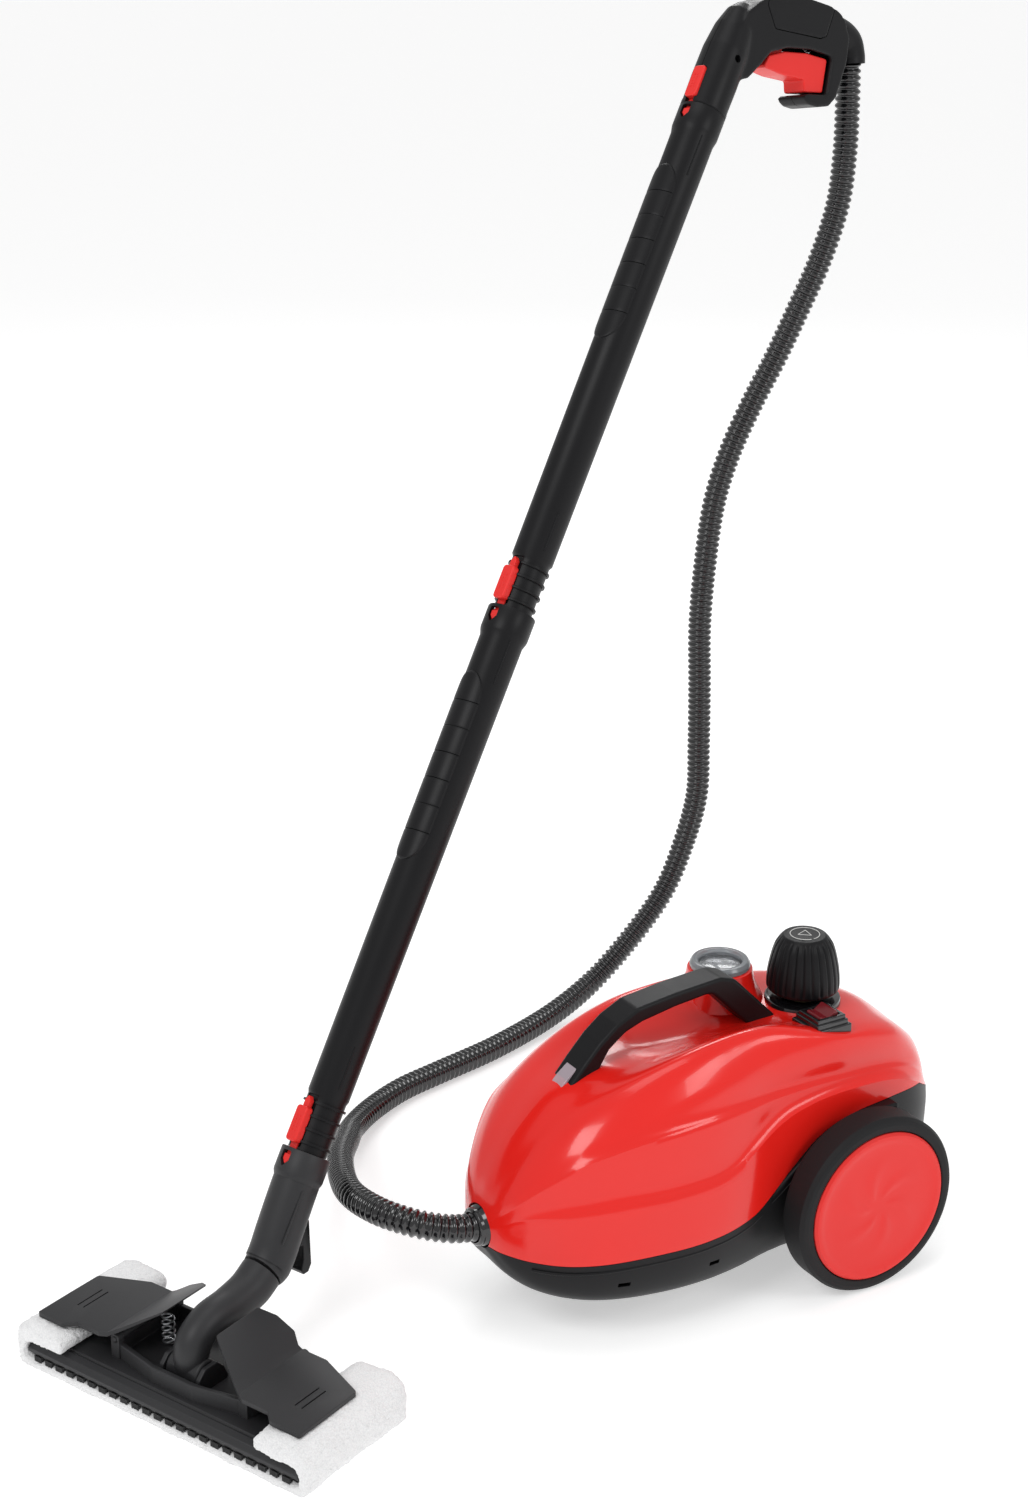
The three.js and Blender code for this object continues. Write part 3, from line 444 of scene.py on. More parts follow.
def rings_along(path, radius, segments):
    """Rings round a path, turned as little as possible from one to the next."""
    count = len(path)
    tangent = [(path[min(i + 1, count - 1)] - path[max(i - 1, 0)]).normalized()
               for i in range(count)]
    side = tangent[0].orthogonal().normalized()
    rings = []
    for i, (p, t) in enumerate(zip(path, tangent)):
        side = (side - t * side.dot(t)).normalized()
        up = t.cross(side)
        r = radius(i / (count - 1)) if callable(radius) else radius
        rings.append([
            p + r * (math.cos(TAU * k / segments) * side + math.sin(TAU * k / segments) * up)
            for k in range(segments)
        ])
    return rings


def swept(name, path, radius, segments=32):
    obj = skin(name, rings_along(path, radius, segments), around=True, ends=True)
    tidy_normals()
    return smooth(obj)


def upright(points, steps=8):
    """A smooth path in a frame's middle plane, through (back, up) pairs."""
    return spline([(0, d, z) for d, z in points], steps)


def from_cad(node, edge=0.0, degrees=35):
    """A merged copy of a CAD node, with eased edges."""
    source = frame["nodes"][node]
    obj = bpy.data.objects.new(node + "_finish", source.data.copy())
    bpy.context.collection.objects.link(obj)
    obj.data.materials.clear()
    activate(obj)
    edit((bpy.ops.mesh.remove_doubles, {"threshold": 2e-6}),
         (bpy.ops.mesh.dissolve_limited, {"angle_limit": math.radians(1)}))
    if edge:
        bevel(obj, edge, 2)
    return smooth(obj, degrees)


SLOT_OF = {row["node"]: row["material_slot"] for row in frame["record"]["subparts"]}


def trim(obj, node, material, place=None):
    """A piece moved into the row's frame, in its material, that rides with a node."""
    if place is not None:
        obj.data.transform(place)
    obj.data.materials.clear()
    obj.data.materials.append(material)
    obj.data.update()
    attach(obj, BODY_OF[node])
    return obj


def finish(obj, node, material, place=None):
    """A piece that rides with a node and takes its place."""
    trim(obj, node, material, place)
    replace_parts(obj, node)
    return obj


# ---- materials ----------------------------------------------------------------

def node_group(name, inputs, outputs):
    group = bpy.data.node_groups.new(name, "ShaderNodeTree")
    for label, kind, default in inputs:
        socket = group.interface.new_socket(label, in_out="INPUT", socket_type=kind)
        socket.default_value = default
    for label, kind in outputs:
        group.interface.new_socket(label, in_out="OUTPUT", socket_type=kind)
    return group, group.nodes.new("NodeGroupInput"), group.nodes.new("NodeGroupOutput")


def noise_node(tree, scale, detail=2.0):
    node = tree.nodes.new("ShaderNodeTexNoise")
    node.inputs["Scale"].default_value = scale
    node.inputs["Detail"].default_value = detail
    return node


def grain_group():
    """Moulded grain: fine pits in the normal, and cloudy roughness."""
    group, given, result = node_group(
        "Moulded Grain",
        (("Vector", "NodeSocketVector", (0, 0, 0)), ("Grain Scale", "NodeSocketFloat", 2500.0),
         ("Grain Depth", "NodeSocketFloat", 0.1), ("Roughness", "NodeSocketFloat", 0.5),
         ("Cloudiness", "NodeSocketFloat", 0.1)),
        (("Roughness", "NodeSocketFloat"), ("Normal", "NodeSocketVector")),
    )
    link = group.links.new
    pits = noise_node(group, 2500, 1)
    clouds = noise_node(group, 35, 3)
    bump = group.nodes.new("ShaderNodeBump")
    bump.inputs["Distance"].default_value = 0.0002
    spread = group.nodes.new("ShaderNodeMath")
    spread.operation = "MULTIPLY_ADD"
    centred = group.nodes.new("ShaderNodeMath")
    centred.operation = "SUBTRACT"
    centred.inputs[1].default_value = 0.5
    link(given.outputs["Vector"], pits.inputs["Vector"])
    link(given.outputs["Vector"], clouds.inputs["Vector"])
    link(given.outputs["Grain Scale"], pits.inputs["Scale"])
    link(given.outputs["Grain Depth"], bump.inputs["Strength"])
    link(pits.outputs["Fac"], bump.inputs["Height"])
    link(clouds.outputs["Fac"], centred.inputs[0])
    link(centred.outputs[0], spread.inputs[0])
    link(given.outputs["Cloudiness"], spread.inputs[1])
    link(given.outputs["Roughness"], spread.inputs[2])
    link(spread.outputs[0], result.inputs["Roughness"])
    link(bump.outputs["Normal"], result.inputs["Normal"])
    return group


def shade_group():
    """A colour that drifts a little darker and lighter over the surface."""
    group, given, result = node_group(
        "Colour Drift",
        (("Vector", "NodeSocketVector", (0, 0, 0)), ("Light", "NodeSocketColor", (1, 1, 1, 1)),
         ("Dark", "NodeSocketColor", (0, 0, 0, 1)), ("Drift Scale", "NodeSocketFloat", 12.0)),
        (("Color", "NodeSocketColor"),),
    )
    link = group.links.new
    drift = noise_node(group, 12, 4)
    mix = group.nodes.new("ShaderNodeMix")
    mix.data_type = "RGBA"
    link(given.outputs["Vector"], drift.inputs["Vector"])
    link(given.outputs["Drift Scale"], drift.inputs["Scale"])
    link(drift.outputs["Fac"], mix.inputs["Factor"])
    link(given.outputs["Dark"], mix.inputs["A"])
    link(given.outputs["Light"], mix.inputs["B"])
    link(mix.outputs["Result"], result.inputs["Color"])
    return group


def pile_group():
    """Terry pile: small loops in the normal, with painted shade between them."""
    group, given, result = node_group(
        "Terry Pile",
        (("Vector", "NodeSocketVector", (0, 0, 0)), ("Loop Scale", "NodeSocketFloat", 700.0),
         ("Crest", "NodeSocketColor", (1, 1, 1, 1)), ("Shade Between Loops", "NodeSocketColor", (0.5, 0.5, 0.5, 1)),
         ("Depth", "NodeSocketFloat", 0.6)),
        (("Color", "NodeSocketColor"), ("Normal", "NodeSocketVector")),
    )
    link = group.links.new
    loops = group.nodes.new("ShaderNodeTexVoronoi")
    tufts = noise_node(group, 160, 3)
    height = group.nodes.new("ShaderNodeMath")
    height.operation = "MULTIPLY_ADD"
    height.inputs[1].default_value = -0.8
    mix = group.nodes.new("ShaderNodeMix")
    mix.data_type = "RGBA"
    bump = group.nodes.new("ShaderNodeBump")
    bump.inputs["Distance"].default_value = 0.0012
    for node in (loops, tufts):
        link(given.outputs["Vector"], node.inputs["Vector"])
    link(given.outputs["Loop Scale"], loops.inputs["Scale"])
    link(loops.outputs["Distance"], height.inputs[0])
    link(tufts.outputs["Fac"], height.inputs[2])
    link(height.outputs[0], bump.inputs["Height"])
    link(given.outputs["Depth"], bump.inputs["Strength"])
    # painted shade: the colour darkens from each loop's middle towards the gaps between loops
    link(loops.outputs["Distance"], mix.inputs["Factor"])
    link(given.outputs["Crest"], mix.inputs["A"])
    link(given.outputs["Shade Between Loops"], mix.inputs["B"])
    link(mix.outputs["Result"], result.inputs["Color"])
    link(bump.outputs["Normal"], result.inputs["Normal"])
    return group


GRAIN = grain_group()
DRIFT = shade_group()
PILE = pile_group()


def rgba(colour):
    return (*colour, 1.0)


def plastic(name, colour, roughness, grain=0.1, grain_scale=2500.0, shade=0.85, coat=0.0,
            cloudiness=0.08, metallic=0.0, specular=0.5):
    """A moulded or metal finish: drifting colour, fine grain and an optional clear coat."""
    material = bpy.data.materials.new(name)
    material.use_nodes = True
    tree = material.node_tree
    shader = tree.nodes["Principled BSDF"]
    place = tree.nodes.new("ShaderNodeTexCoord")
    pits = tree.nodes.new("ShaderNodeGroup")
    pits.node_tree = GRAIN
    pits.inputs["Grain Scale"].default_value = grain_scale
    pits.inputs["Grain Depth"].default_value = grain
    pits.inputs["Roughness"].default_value = roughness
    pits.inputs["Cloudiness"].default_value = cloudiness
    tint = tree.nodes.new("ShaderNodeGroup")
    tint.node_tree = DRIFT
    tint.inputs["Light"].default_value = rgba(colour)
    tint.inputs["Dark"].default_value = rgba([c * shade for c in colour])
    for group in (pits, tint):
        tree.links.new(place.outputs["Object"], group.inputs["Vector"])
    tree.links.new(tint.outputs["Color"], shader.inputs["Base Color"])
    tree.links.new(pits.outputs["Roughness"], shader.inputs["Roughness"])
    tree.links.new(pits.outputs["Normal"], shader.inputs["Normal"])
    shader.inputs["Metallic"].default_value = metallic
    shader.inputs["Specular IOR Level"].default_value = specular
    shader.inputs["Coat Weight"].default_value = coat
    shader.inputs["Coat Roughness"].default_value = 0.06
    return material


def clear(name, colour, roughness, transmission):
    """A smooth moulding that lets light through."""
    material = plastic(name, colour, roughness, grain=0.02, shade=0.95, cloudiness=0.02)
    shader = material.node_tree.nodes["Principled BSDF"]
    shader.inputs["Transmission Weight"].default_value = transmission
    shader.inputs["IOR"].default_value = 1.45
    return material


def terry(name, crest, root):
    """Looped cloth, lighter on the loops than between them; the root colour is painted shade between the
    loops.
    """
    material = bpy.data.materials.new(name)
    material.use_nodes = True
    tree = material.node_tree
    shader = tree.nodes["Principled BSDF"]
    place = tree.nodes.new("ShaderNodeTexCoord")
    pile = tree.nodes.new("ShaderNodeGroup")
    pile.node_tree = PILE
    pile.inputs["Crest"].default_value = rgba(crest)
    pile.inputs["Shade Between Loops"].default_value = rgba(root)
    tree.links.new(place.outputs["Object"], pile.inputs["Vector"])
    tree.links.new(pile.outputs["Color"], shader.inputs["Base Color"])
    tree.links.new(pile.outputs["Normal"], shader.inputs["Normal"])
    shader.inputs["Roughness"].default_value = 0.95
    shader.inputs["Sheen Weight"].default_value = 0.4
    return material


def colour_property(label, default, description):
    return bpy.props.FloatVectorProperty(
        name=label, subtype="COLOR", size=3, min=0, max=1, default=default,
        description=description)


class MopColours(bpy.types.PropertyGroup):
    cover: colour_property("Cover", (0.80, 0.014, 0.009), "Glossy red of the canister's cover")
    hubcap: colour_property("Hubcap", (0.78, 0.026, 0.022), "Red of the hubcaps and buttons")
    black: colour_property("Black", (0.007, 0.007, 0.008), "Black of the base, tubes and gun")
    grey: colour_property("Dark grey", (0.026, 0.026, 0.028), "Dark grey of the head and handle")
    cloth: colour_property("Cloth", (0.90, 0.90, 0.90), "White of the terry cloth")


def colours():
    return bpy.context.scene.mop_colours


MADE = {}


def coat(kind):
    """The named finish, made once."""
    if kind not in MADE:
        c = colours()
        MADE[kind] = {
            "red_gloss": lambda: plastic("Red Gloss Cover", tuple(c.cover), 0.2, 0.02, 900, 0.93, 0.35,
                                         specular=0.3),
            "red_satin": lambda: plastic("Red Satin Trim", tuple(c.hubcap), 0.38, 0.08, 2600, 0.92,
                                         specular=0.3),
            "black_satin": lambda: plastic("Black Moulding", tuple(c.black), 0.4, 0.12, 2600, 0.8,
                                           specular=0.2),
            "black_gloss": lambda: plastic("Polished Black", (0.006, 0.006, 0.007), 0.16, 0.02, 900,
                                           0.9, 0.5),
            "grey_satin": lambda: plastic("Dark Grey Moulding", tuple(c.grey), 0.46, 0.14, 2600, 0.85,
                                          specular=0.34),
            "tyre_rubber": lambda: plastic("Tyre Rubber", (0.012, 0.012, 0.013), 0.6, 0.2, 1800, 0.8,
                                           specular=0.22),
            "steel": lambda: plastic("Steel", (0.6, 0.61, 0.63), 0.28, 0.05, 1200, 0.9, metallic=1.0),
            "brass": lambda: plastic("Brass", (0.6, 0.45, 0.2), 0.3, 0.05, 1200, 0.85, metallic=1.0),
            "clear_plastic": lambda: clear("Clear Plastic", (0.86, 0.88, 0.92), 0.06, 0.9),
            "lilac_lens": lambda: clear("Lilac Lens", (0.80, 0.66, 0.74), 0.10, 0.55),
            "grey_clear": lambda: clear("Grey Clear Plastic", (0.34, 0.36, 0.38), 0.08, 0.45),
            "smoked_red": lambda: clear("Smoked Red", (0.20, 0.012, 0.018), 0.12, 0.25),
            "dial_white": lambda: plastic("Dial Print", (0.72, 0.72, 0.70), 0.5, 0.03, 900, 0.96),
            "lens_core": lambda: plastic("Lens Core", (0.30, 0.24, 0.30), 0.35, 0.03, 900, 0.9),
            "bristle_black": lambda: plastic("Bristle", (0.008, 0.008, 0.009), 0.5, 0.05, 2600, 0.7),
            "beige_ceramic": lambda: plastic("Beige Ceramic", (0.66, 0.62, 0.54), 0.5, 0.1, 1500, 0.9),
            # the second colour is painted shade between the terry loops
            "terry_cloth": lambda: terry("Terry Cloth", tuple(c.cloth), (0.76, 0.76, 0.77)),
        }[kind]()
    return MADE[kind]


class MopPart:
    """Shared settings of the operators."""
    bl_options = {"REGISTER", "UNDO"}


# ---- studio -------------------------------------------------------------------

class MOP_OT_studio(MopPart, bpy.types.Operator):
    """Pale floor, soft lights and the camera"""
    bl_idname = "mop.studio"
    bl_label = "Studio"

    def execute(self, context):
        bpy.ops.mesh.primitive_plane_add(size=60)
        floor = context.active_object
        floor.name = "studio_floor"
        paint = bpy.data.materials.new("Studio Floor")
        paint.use_nodes = True
        shader = paint.node_tree.nodes["Principled BSDF"]
        shader.inputs["Base Color"].default_value = (0.8, 0.8, 0.8, 1)
        shader.inputs["Emission Color"].default_value = (1, 1, 1, 1)
        shader.inputs["Emission Strength"].default_value = 0.46
        shader.inputs["Roughness"].default_value = 0.75
        shader.inputs["Specular IOR Level"].default_value = 0.2
        floor.data.materials.append(paint)

        world = bpy.data.worlds.new("Studio World")
        context.scene.world = world
        world.use_nodes = True
        sky = world.node_tree.nodes["Background"]
        sky.inputs["Color"].default_value = (1, 1, 1, 1)
        sky.inputs["Strength"].default_value = 0.6

        low, high = CAD_BOX
        aim = Vector(((low.x + high.x) / 2, (low.y + high.y) / 2, 0.3))
        for label, offset, size, power in (
            ("key", (0.9, -2.2, 2.4), 1.4, 30), ("side", (2.6, 1.4, 1.8), 1.2, 18),
            ("rim", (-2.4, 1.8, 2.2), 1.2, 22), ("top", (0.0, 0.0, 3.0), 1.6, 12),
        ):
            data = bpy.data.lights.new(label + "_light", "AREA")
            data.shape = "RECTANGLE"
            data.size = size
            data.size_y = size * 0.8
            data.energy = power
            lamp = bpy.data.objects.new(label + "_light", data)
            lamp.location = aim + Vector(offset)
            lamp.rotation_euler = Vector(offset).to_track_quat("Z", "Y").to_euler()
            context.collection.objects.link(lamp)

        view = bpy.data.cameras.new("camera")
        view.lens = 58.8
        view.sensor_width = 36
        camera = bpy.data.objects.new("camera", view)
        camera.location = (1.6268, -1.0117, 1.145)
        camera.rotation_euler = (math.radians(70), 0, math.radians(59))
        context.collection.objects.link(camera)
        context.scene.camera = camera
        context.scene.view_settings.view_transform = "Standard"
        return {"FINISHED"}


# ---- hose ---------------------------------------------------------------------

class MopHose(bpy.types.PropertyGroup):
    radius: bpy.props.FloatProperty(
        name="Radius", default=12 * MM, min=8 * MM, max=16 * MM, unit="LENGTH",
        description="Outer radius over the corrugations")
    groove: bpy.props.FloatProperty(
        name="Groove", default=2.1 * MM, min=0.5 * MM, max=3 * MM, unit="LENGTH",
        description="Depth of the groove between corrugations")
    pitch: bpy.props.FloatProperty(
        name="Pitch", default=6.2 * MM, min=4 * MM, max=12 * MM, unit="LENGTH",
        description="Distance between corrugations")


class MOP_OT_hose(MopPart, bpy.types.Operator):
    """Corrugated steam hose from the canister to the gun"""
    bl_idname = "mop.hose"
    bl_label = "Hose"

    def execute(self, context):
        size = context.scene.mop_hose
        route = spline(HOSE_ROUTE, 24)
        length = sum((b - a).length for a, b in zip(route, route[1:]))
        folds = round(length * MM / size.pitch)
        profile = (1.0, 0.94, 0.6, 0.12, 0.0, 0.12, 0.6, 0.94)
        per_fold = len(profile)
        path = even(route, folds * per_fold + 1)
        outer, groove = size.radius / MM, size.groove / MM
        count = len(path) - 1

        def girth(t):
            return outer - groove * (1 - profile[round(t * count) % per_fold])

        rings = rings_along(path, girth, 20)
        hose = skin("corrugated_hose", rings, around=True, ends=True)
        tidy_normals()
        smooth(hose, 75)
        finish(hose, "steam_hose", coat("black_gloss"), CANISTER)
        return {"FINISHED"}


# ---- canister -----------------------------------------------------------------

def half_section(y):
    """Half of one cross-section of the hull, from the keel round to the crown."""
    w, keel, belt = value(WIDTH, y), value(BOTTOM, y), value(BELT, y)
    low, high = value(LOWER_CREASE, y), value(UPPER_CREASE, y)
    shoulder, crown = value(SHOULDER, y), value(CROWN, y)
    full = high + value(FULLNESS, y) * (shoulder - high)
    deck, ledge = value(DECK, y) * w, value(LEDGE, y) * w
    sides = [(0, keel), (0.6 * w, keel), (0.84 * w, keel + 6),
             (0.95 * w, keel + 0.42 * (belt - keel)), (w, belt), (0.975 * w, low)]
    flank = [(0.975 * w, low), (0.4875 * w + ledge / 2, low + 0.4 * (high - low)), (ledge, high)]
    top = [(ledge, high), (0.35 * deck + 0.65 * ledge, full), (deck, shoulder),
           (0.53 * deck, shoulder + 0.55 * (crown - shoulder)), (0, crown)]
    lower = spline([Vector(p) for p in sides], 10, before=(-0.6 * w, keel))
    upper = spline([Vector(p) for p in top], 10, after=(-top[3][0], top[3][1]))
    return lower, spline([Vector(p) for p in flank], 6), upper


def creased(y, half):
    """The section with a small ledge set back above each crease."""
    depth = 2.4 * ease((y + 308) / 40) * ease((112 - y) / 40)
    creases = (value(LOWER_CREASE, y), value(UPPER_CREASE, y))
    out = []
    for p in half:
        steps = [max(p.y - z, 0) / 7 for z in creases]
        inset = depth * sum(t * math.exp(1 - t) for t in steps)
        out.append(Vector((max(p.x - inset, 0), p.y)))
    return out


def stations(count):
    """Places along the hull, closer together towards its ends."""
    front, rear = HULL_ENDS
    for k in range(count):
        t = k / (count - 1)
        spread = 0.5 - 0.5 * math.cos(math.pi * t)
        yield front + (rear - front) * (0.45 * t + 0.55 * spread)


def split_section(y):
    """The section cut at the parting line: what is under it, then the side, flank and top."""
    lower, flank, upper = half_section(y)
    line = value(PARTING, y)
    at = max(next((i for i, p in enumerate(lower) if p.y >= line), len(lower) - 1), 1)
    a, b = lower[at - 1], lower[at]
    t = min(max((line - a.y) / (b.y - a.y), 0), 1) if b.y > a.y else 0
    joint = a.lerp(b, t)
    return lower[:at] + [joint], [joint] + lower[at:], flank, upper


def mirrored_row(y, half, squeeze, middle):
    """The right and left halves of a cross-section row, drawn in towards its middle."""
    right = [Vector((p.x * squeeze, y, middle + (p.y - middle) * squeeze)) for p in half]
    left = [Vector((-p.x, p.y, p.z)) for p in reversed(right)]
    return right, left


def hull_rows(over, count=150):
    """Cross-section rows of the hull, over the parting line or under it."""
    rows = []
    ys = list(stations(count))
    closing = [(ys[0] - 0.7, ys[0], 0.05), (ys[0] - 0.5, ys[0], 0.6)]
    opening = [(ys[-1] + 0.5, ys[-1], 0.6), (ys[-1] + 0.7, ys[-1], 0.05)]
    for place, y, squeeze in [*closing, *((y, y, 1.0) for y in ys), *opening]:
        below, side, flank, upper = split_section(y)
        middle = value(PARTING, y)
        if over:
            half = creased(y, even(side, 9)[:-1] + even(flank, 14)[:-1] + even(upper, 56))
            right, left = mirrored_row(place, half, squeeze, middle)
            rows.append(right + left[1:])
        else:
            half = even(below, 24)
            right, left = mirrored_row(place, half, squeeze, middle)
            rows.append([*reversed(right), *reversed(left[:-1])])
    return rows


def thick_skin(name, rows):
    """An open skin given the hull's wall thickness, with its faces pointing out."""
    obj = skin(name, rows)
    tidy_normals()
    modify(obj, "SOLIDIFY", thickness=WALL * MM, offset=-1)
    work = bmesh.new()
    work.from_mesh(obj.data)
    if work.calc_volume(signed=True) < 0:
        bmesh.ops.reverse_faces(work, faces=work.faces)
        work.to_mesh(obj.data)
    work.free()
    return obj


def socket_notch():
    """The opening for the hose's socket, cut in the cover and in the base."""
    return rod("socket_notch", 19, -345, -283, 48, "y", (0, 0, SOCKET_Z))


class MOP_OT_cover(MopPart, bpy.types.Operator):
    """Glossy red cover with its two creases and the gauge's pod"""
    bl_idname = "mop.cover"
    bl_label = "Cover"

    def execute(self, context):
        cover = thick_skin("red_cover", hull_rows(True))
        carve(cover, rod("filler_hole", 22.4, 180, 260, 48, at=(0, CAP_Y, 0)),
              socket_notch(),
              rod("gauge_hole", 22.1, 180, 260, 48, at=(*GAUGE, 0)))
        smooth(cover, 42)
        pod = turned("gauge_pod", (
            (22.3, 216), (38.5, 219), (35, 226), (31.6, 233), (29.4, 240), (28.5, 245.4), (28.1, 246.8),
            (27, 247.5), (22.3, 247.5)), 96, at=(*GAUGE, 0), closed=True)
        finish(joined("red_cover", cover, pod), "body_shell", coat("red_gloss"), CANISTER)
        return {"FINISHED"}


class MOP_OT_base(MopPart, bpy.types.Operator):
    """Black base with its bead, slots, wheel arches and axle bosses"""
    bl_idname = "mop.base"
    bl_label = "Base"

    def execute(self, context):
        rows = [[Vector((p.x, p.y, p.z - 0.5)) for p in row] for row in hull_rows(False, 110)]
        tray = thick_skin("black_base", rows)
        slots = []
        for side in (-1, 1):
            for y in (-232, -150):
                low, high = sorted((side * 80, side * 112))
                slots.append(block("slot", (low, high), (y - 5, y + 5), (58, 62)))
        carve(tray, socket_notch(),
              block("inlet_window", (-17.4, 17.4), (90, 140), (82.6, 107.4)), *slots)
        smooth(tray, 32)
        arch_top = [(y, value(PARTING, y) - 0.4) for y in range(-100, 46, 6)]
        arch_low = [(y, z - 9.5) for y, z in reversed(arch_top)]
        extras = []
        for low, high in ((-93, -76), (76, 93)):
            arch = extruded("wheel_arch", [*arch_top, *arch_low], low, high)
            extras.append(smooth(bevel(arch, 2.2, 3), 40))
        for side in (-1, 1):
            ends = sorted((side * 62, side * 91))
            extras.append(bevel(rod("axle_boss", 10, *ends, 32, "x", (0, 0, WHEEL_Z)), 1.2))
        extras.append(rod("caster_boss", 12, 32.5, 54, 32, at=(0, CASTER_Y, 0)))
        bead = [(y, value(WIDTH, y)) for y in stations(60)]
        for side in (-1, 1):
            run = [Vector((side * x * 0.985, y, value(PARTING, y) - 7.5)) for y, x in bead
                   if -300 < y < -100]
            extras.append(swept("base_bead", run, 1.3, 10))
        finish(joined("black_base", tray, *extras), "base_pan", coat("black_satin"), CANISTER)
        return {"FINISHED"}


class MOP_OT_handle(MopPart, bpy.types.Operator):
    """Carrying handle and the clear indicator at its front foot"""
    bl_idname = "mop.handle"
    bl_label = "Handle"

    def execute(self, context):
        outline = ((-242, 200), (-224, 221), (-208, 238), (-192, 250.5), (-172, 260), (-134, 264.5),
                   (-88, 267.5), (-74, 263), (-12, 200), (-42, 200), (-86, 244), (-98, 256), (-134, 252.5),
                   (-167, 247), (-183, 241.5), (-199, 230), (-220, 196))
        handle = moulded("handle", rounded(outline, 14, 6), -14, 14, 2.6, 4, 50)
        finish(handle, "carry_handle", coat("black_satin"), CANISTER)
        side = ((-242, 190), (-242, 204), (-237, 209.5), (-225, 219), (-225, 190))
        lens = extruded("indicator", rounded(side, 1.5), -7.5, 7.5)
        smooth(bevel(lens, 0.9, 3, 40))
        finish(lens, "indicator_lens", coat("lilac_lens"), CANISTER)
        core = block("indicator_core", (-4.6, 4.6), (-236, -227.5), (190, 207), 0.8)
        trim(core, "indicator_lens", coat("lens_core"), CANISTER)
        return {"FINISHED"}


class MopKnob(bpy.types.PropertyGroup):
    flutes: bpy.props.IntProperty(
        name="Flutes", default=24, min=12, max=36, description="Number of grooves round the grip")
    depth: bpy.props.FloatProperty(
        name="Groove depth", default=1.5 * MM, min=0.3 * MM, max=3 * MM, unit="LENGTH",
        description="Depth of each groove")


class MOP_OT_filler(MopPart, bpy.types.Operator):
    """Filler cap: fluted grip, flange, plug and seal"""
    bl_idname = "mop.filler"
    bl_label = "Filler cap"

    def execute(self, context):
        size = context.scene.mop_knob
        at = (0, CAP_Y, 0)
        contour = ((230.2, 29.4), (231.2, 30.6), (233.5, 31.6), (241, 31.6), (249, 30.7), (257, 29.2),
                   (266, 27), (272, 24.8), (276.6, 21.8), (279.4, 19.2))
        per_flute = 10
        around = size.flutes * per_flute
        neck = ((226.5, 20.4), (227.2, 21), (229.8, 21.4), (230, 28.6))
        rows = [circle(r, around, z) for z, r in neck]
        for k in range(37):
            z = 230.4 + k / 36 * 48.8
            r = value(contour, z)
            fade = min(ease((z - 231) / 4), ease((279.4 - z) / 5))
            row = []
            for m in range(around):
                angle = TAU * m / around
                phase = (m % per_flute) / per_flute - 0.5
                wave = math.exp(-(phase / 0.16) ** 2) - 0.12 * math.cos(TAU * phase)
                dip = size.depth / MM * fade * wave
                row.append(Vector(((r - dip) * math.cos(angle), (r - dip) * math.sin(angle), z)))
            rows.append(row)
        crown = ((278.9, 18.4), (279.2, 17.4), (279.0, 16.6), (278.9, 15.8), (279.7, 8), (280.0, 1))
        rows += [circle(r, around, z + 1.0) for z, r in crown]
        knob = skin("fluted_grip", rows, around=True, ends=True)
        tidy_normals()
        carve(knob, rod("grip_room", 19, 215, 233.6, 48))
        knob.data.transform(Matrix.Translation(Vector(at) * MM))
        smooth(knob, 40)
        finish(knob, "cap_knob", coat("black_satin"), CANISTER)

        ring = circle(12.6, 64, 280.5, (0, CAP_Y))[:-1]
        marks = [swept("grip_ring", ring, 0.35, 8)]
        corners = [Vector((6.6 * math.cos(a), CAP_Y + 6.6 * math.sin(a), 280.75))
                   for a in (math.radians(d) for d in (20, 140, 260))]
        for a, b in zip(corners, corners[1:] + corners[:1]):
            marks.append(swept("grip_arrow", even([a, b], 6), 0.35, 8))
        trim(joined("grip_mark", *marks), "cap_knob", coat("dial_white"), CANISTER)

        flange = turned("filler_flange", (
            (22, 209), (33, 209), (33, 221.4), (32.4, 222.8), (31, 223.5), (26, 223.3), (24, 223.7),
            (23, 224.4), (17.4, 224.4), (17.4, 209),
        ), 80, at=at, closed=True)
        finish(flange, "cap_collar", coat("black_gloss"), CANISTER)
        plug = turned("filler_plug", (
            (0, 204), (11.6, 204), (12.6, 205), (12.6, 227.7), (17.6, 227.7), (17.6, 232.4), (17, 233),
            (0, 233)), 48, at=at)
        finish(plug, "cap_plug", coat("black_satin"), CANISTER)
        seal = turned("filler_seal", rectangle((13.4, 16.8), (225.3, 227.4), 0.8), 48, at=at, closed=True)
        finish(seal, "cap_seal", coat("tyre_rubber"), CANISTER)
        return {"FINISHED"}


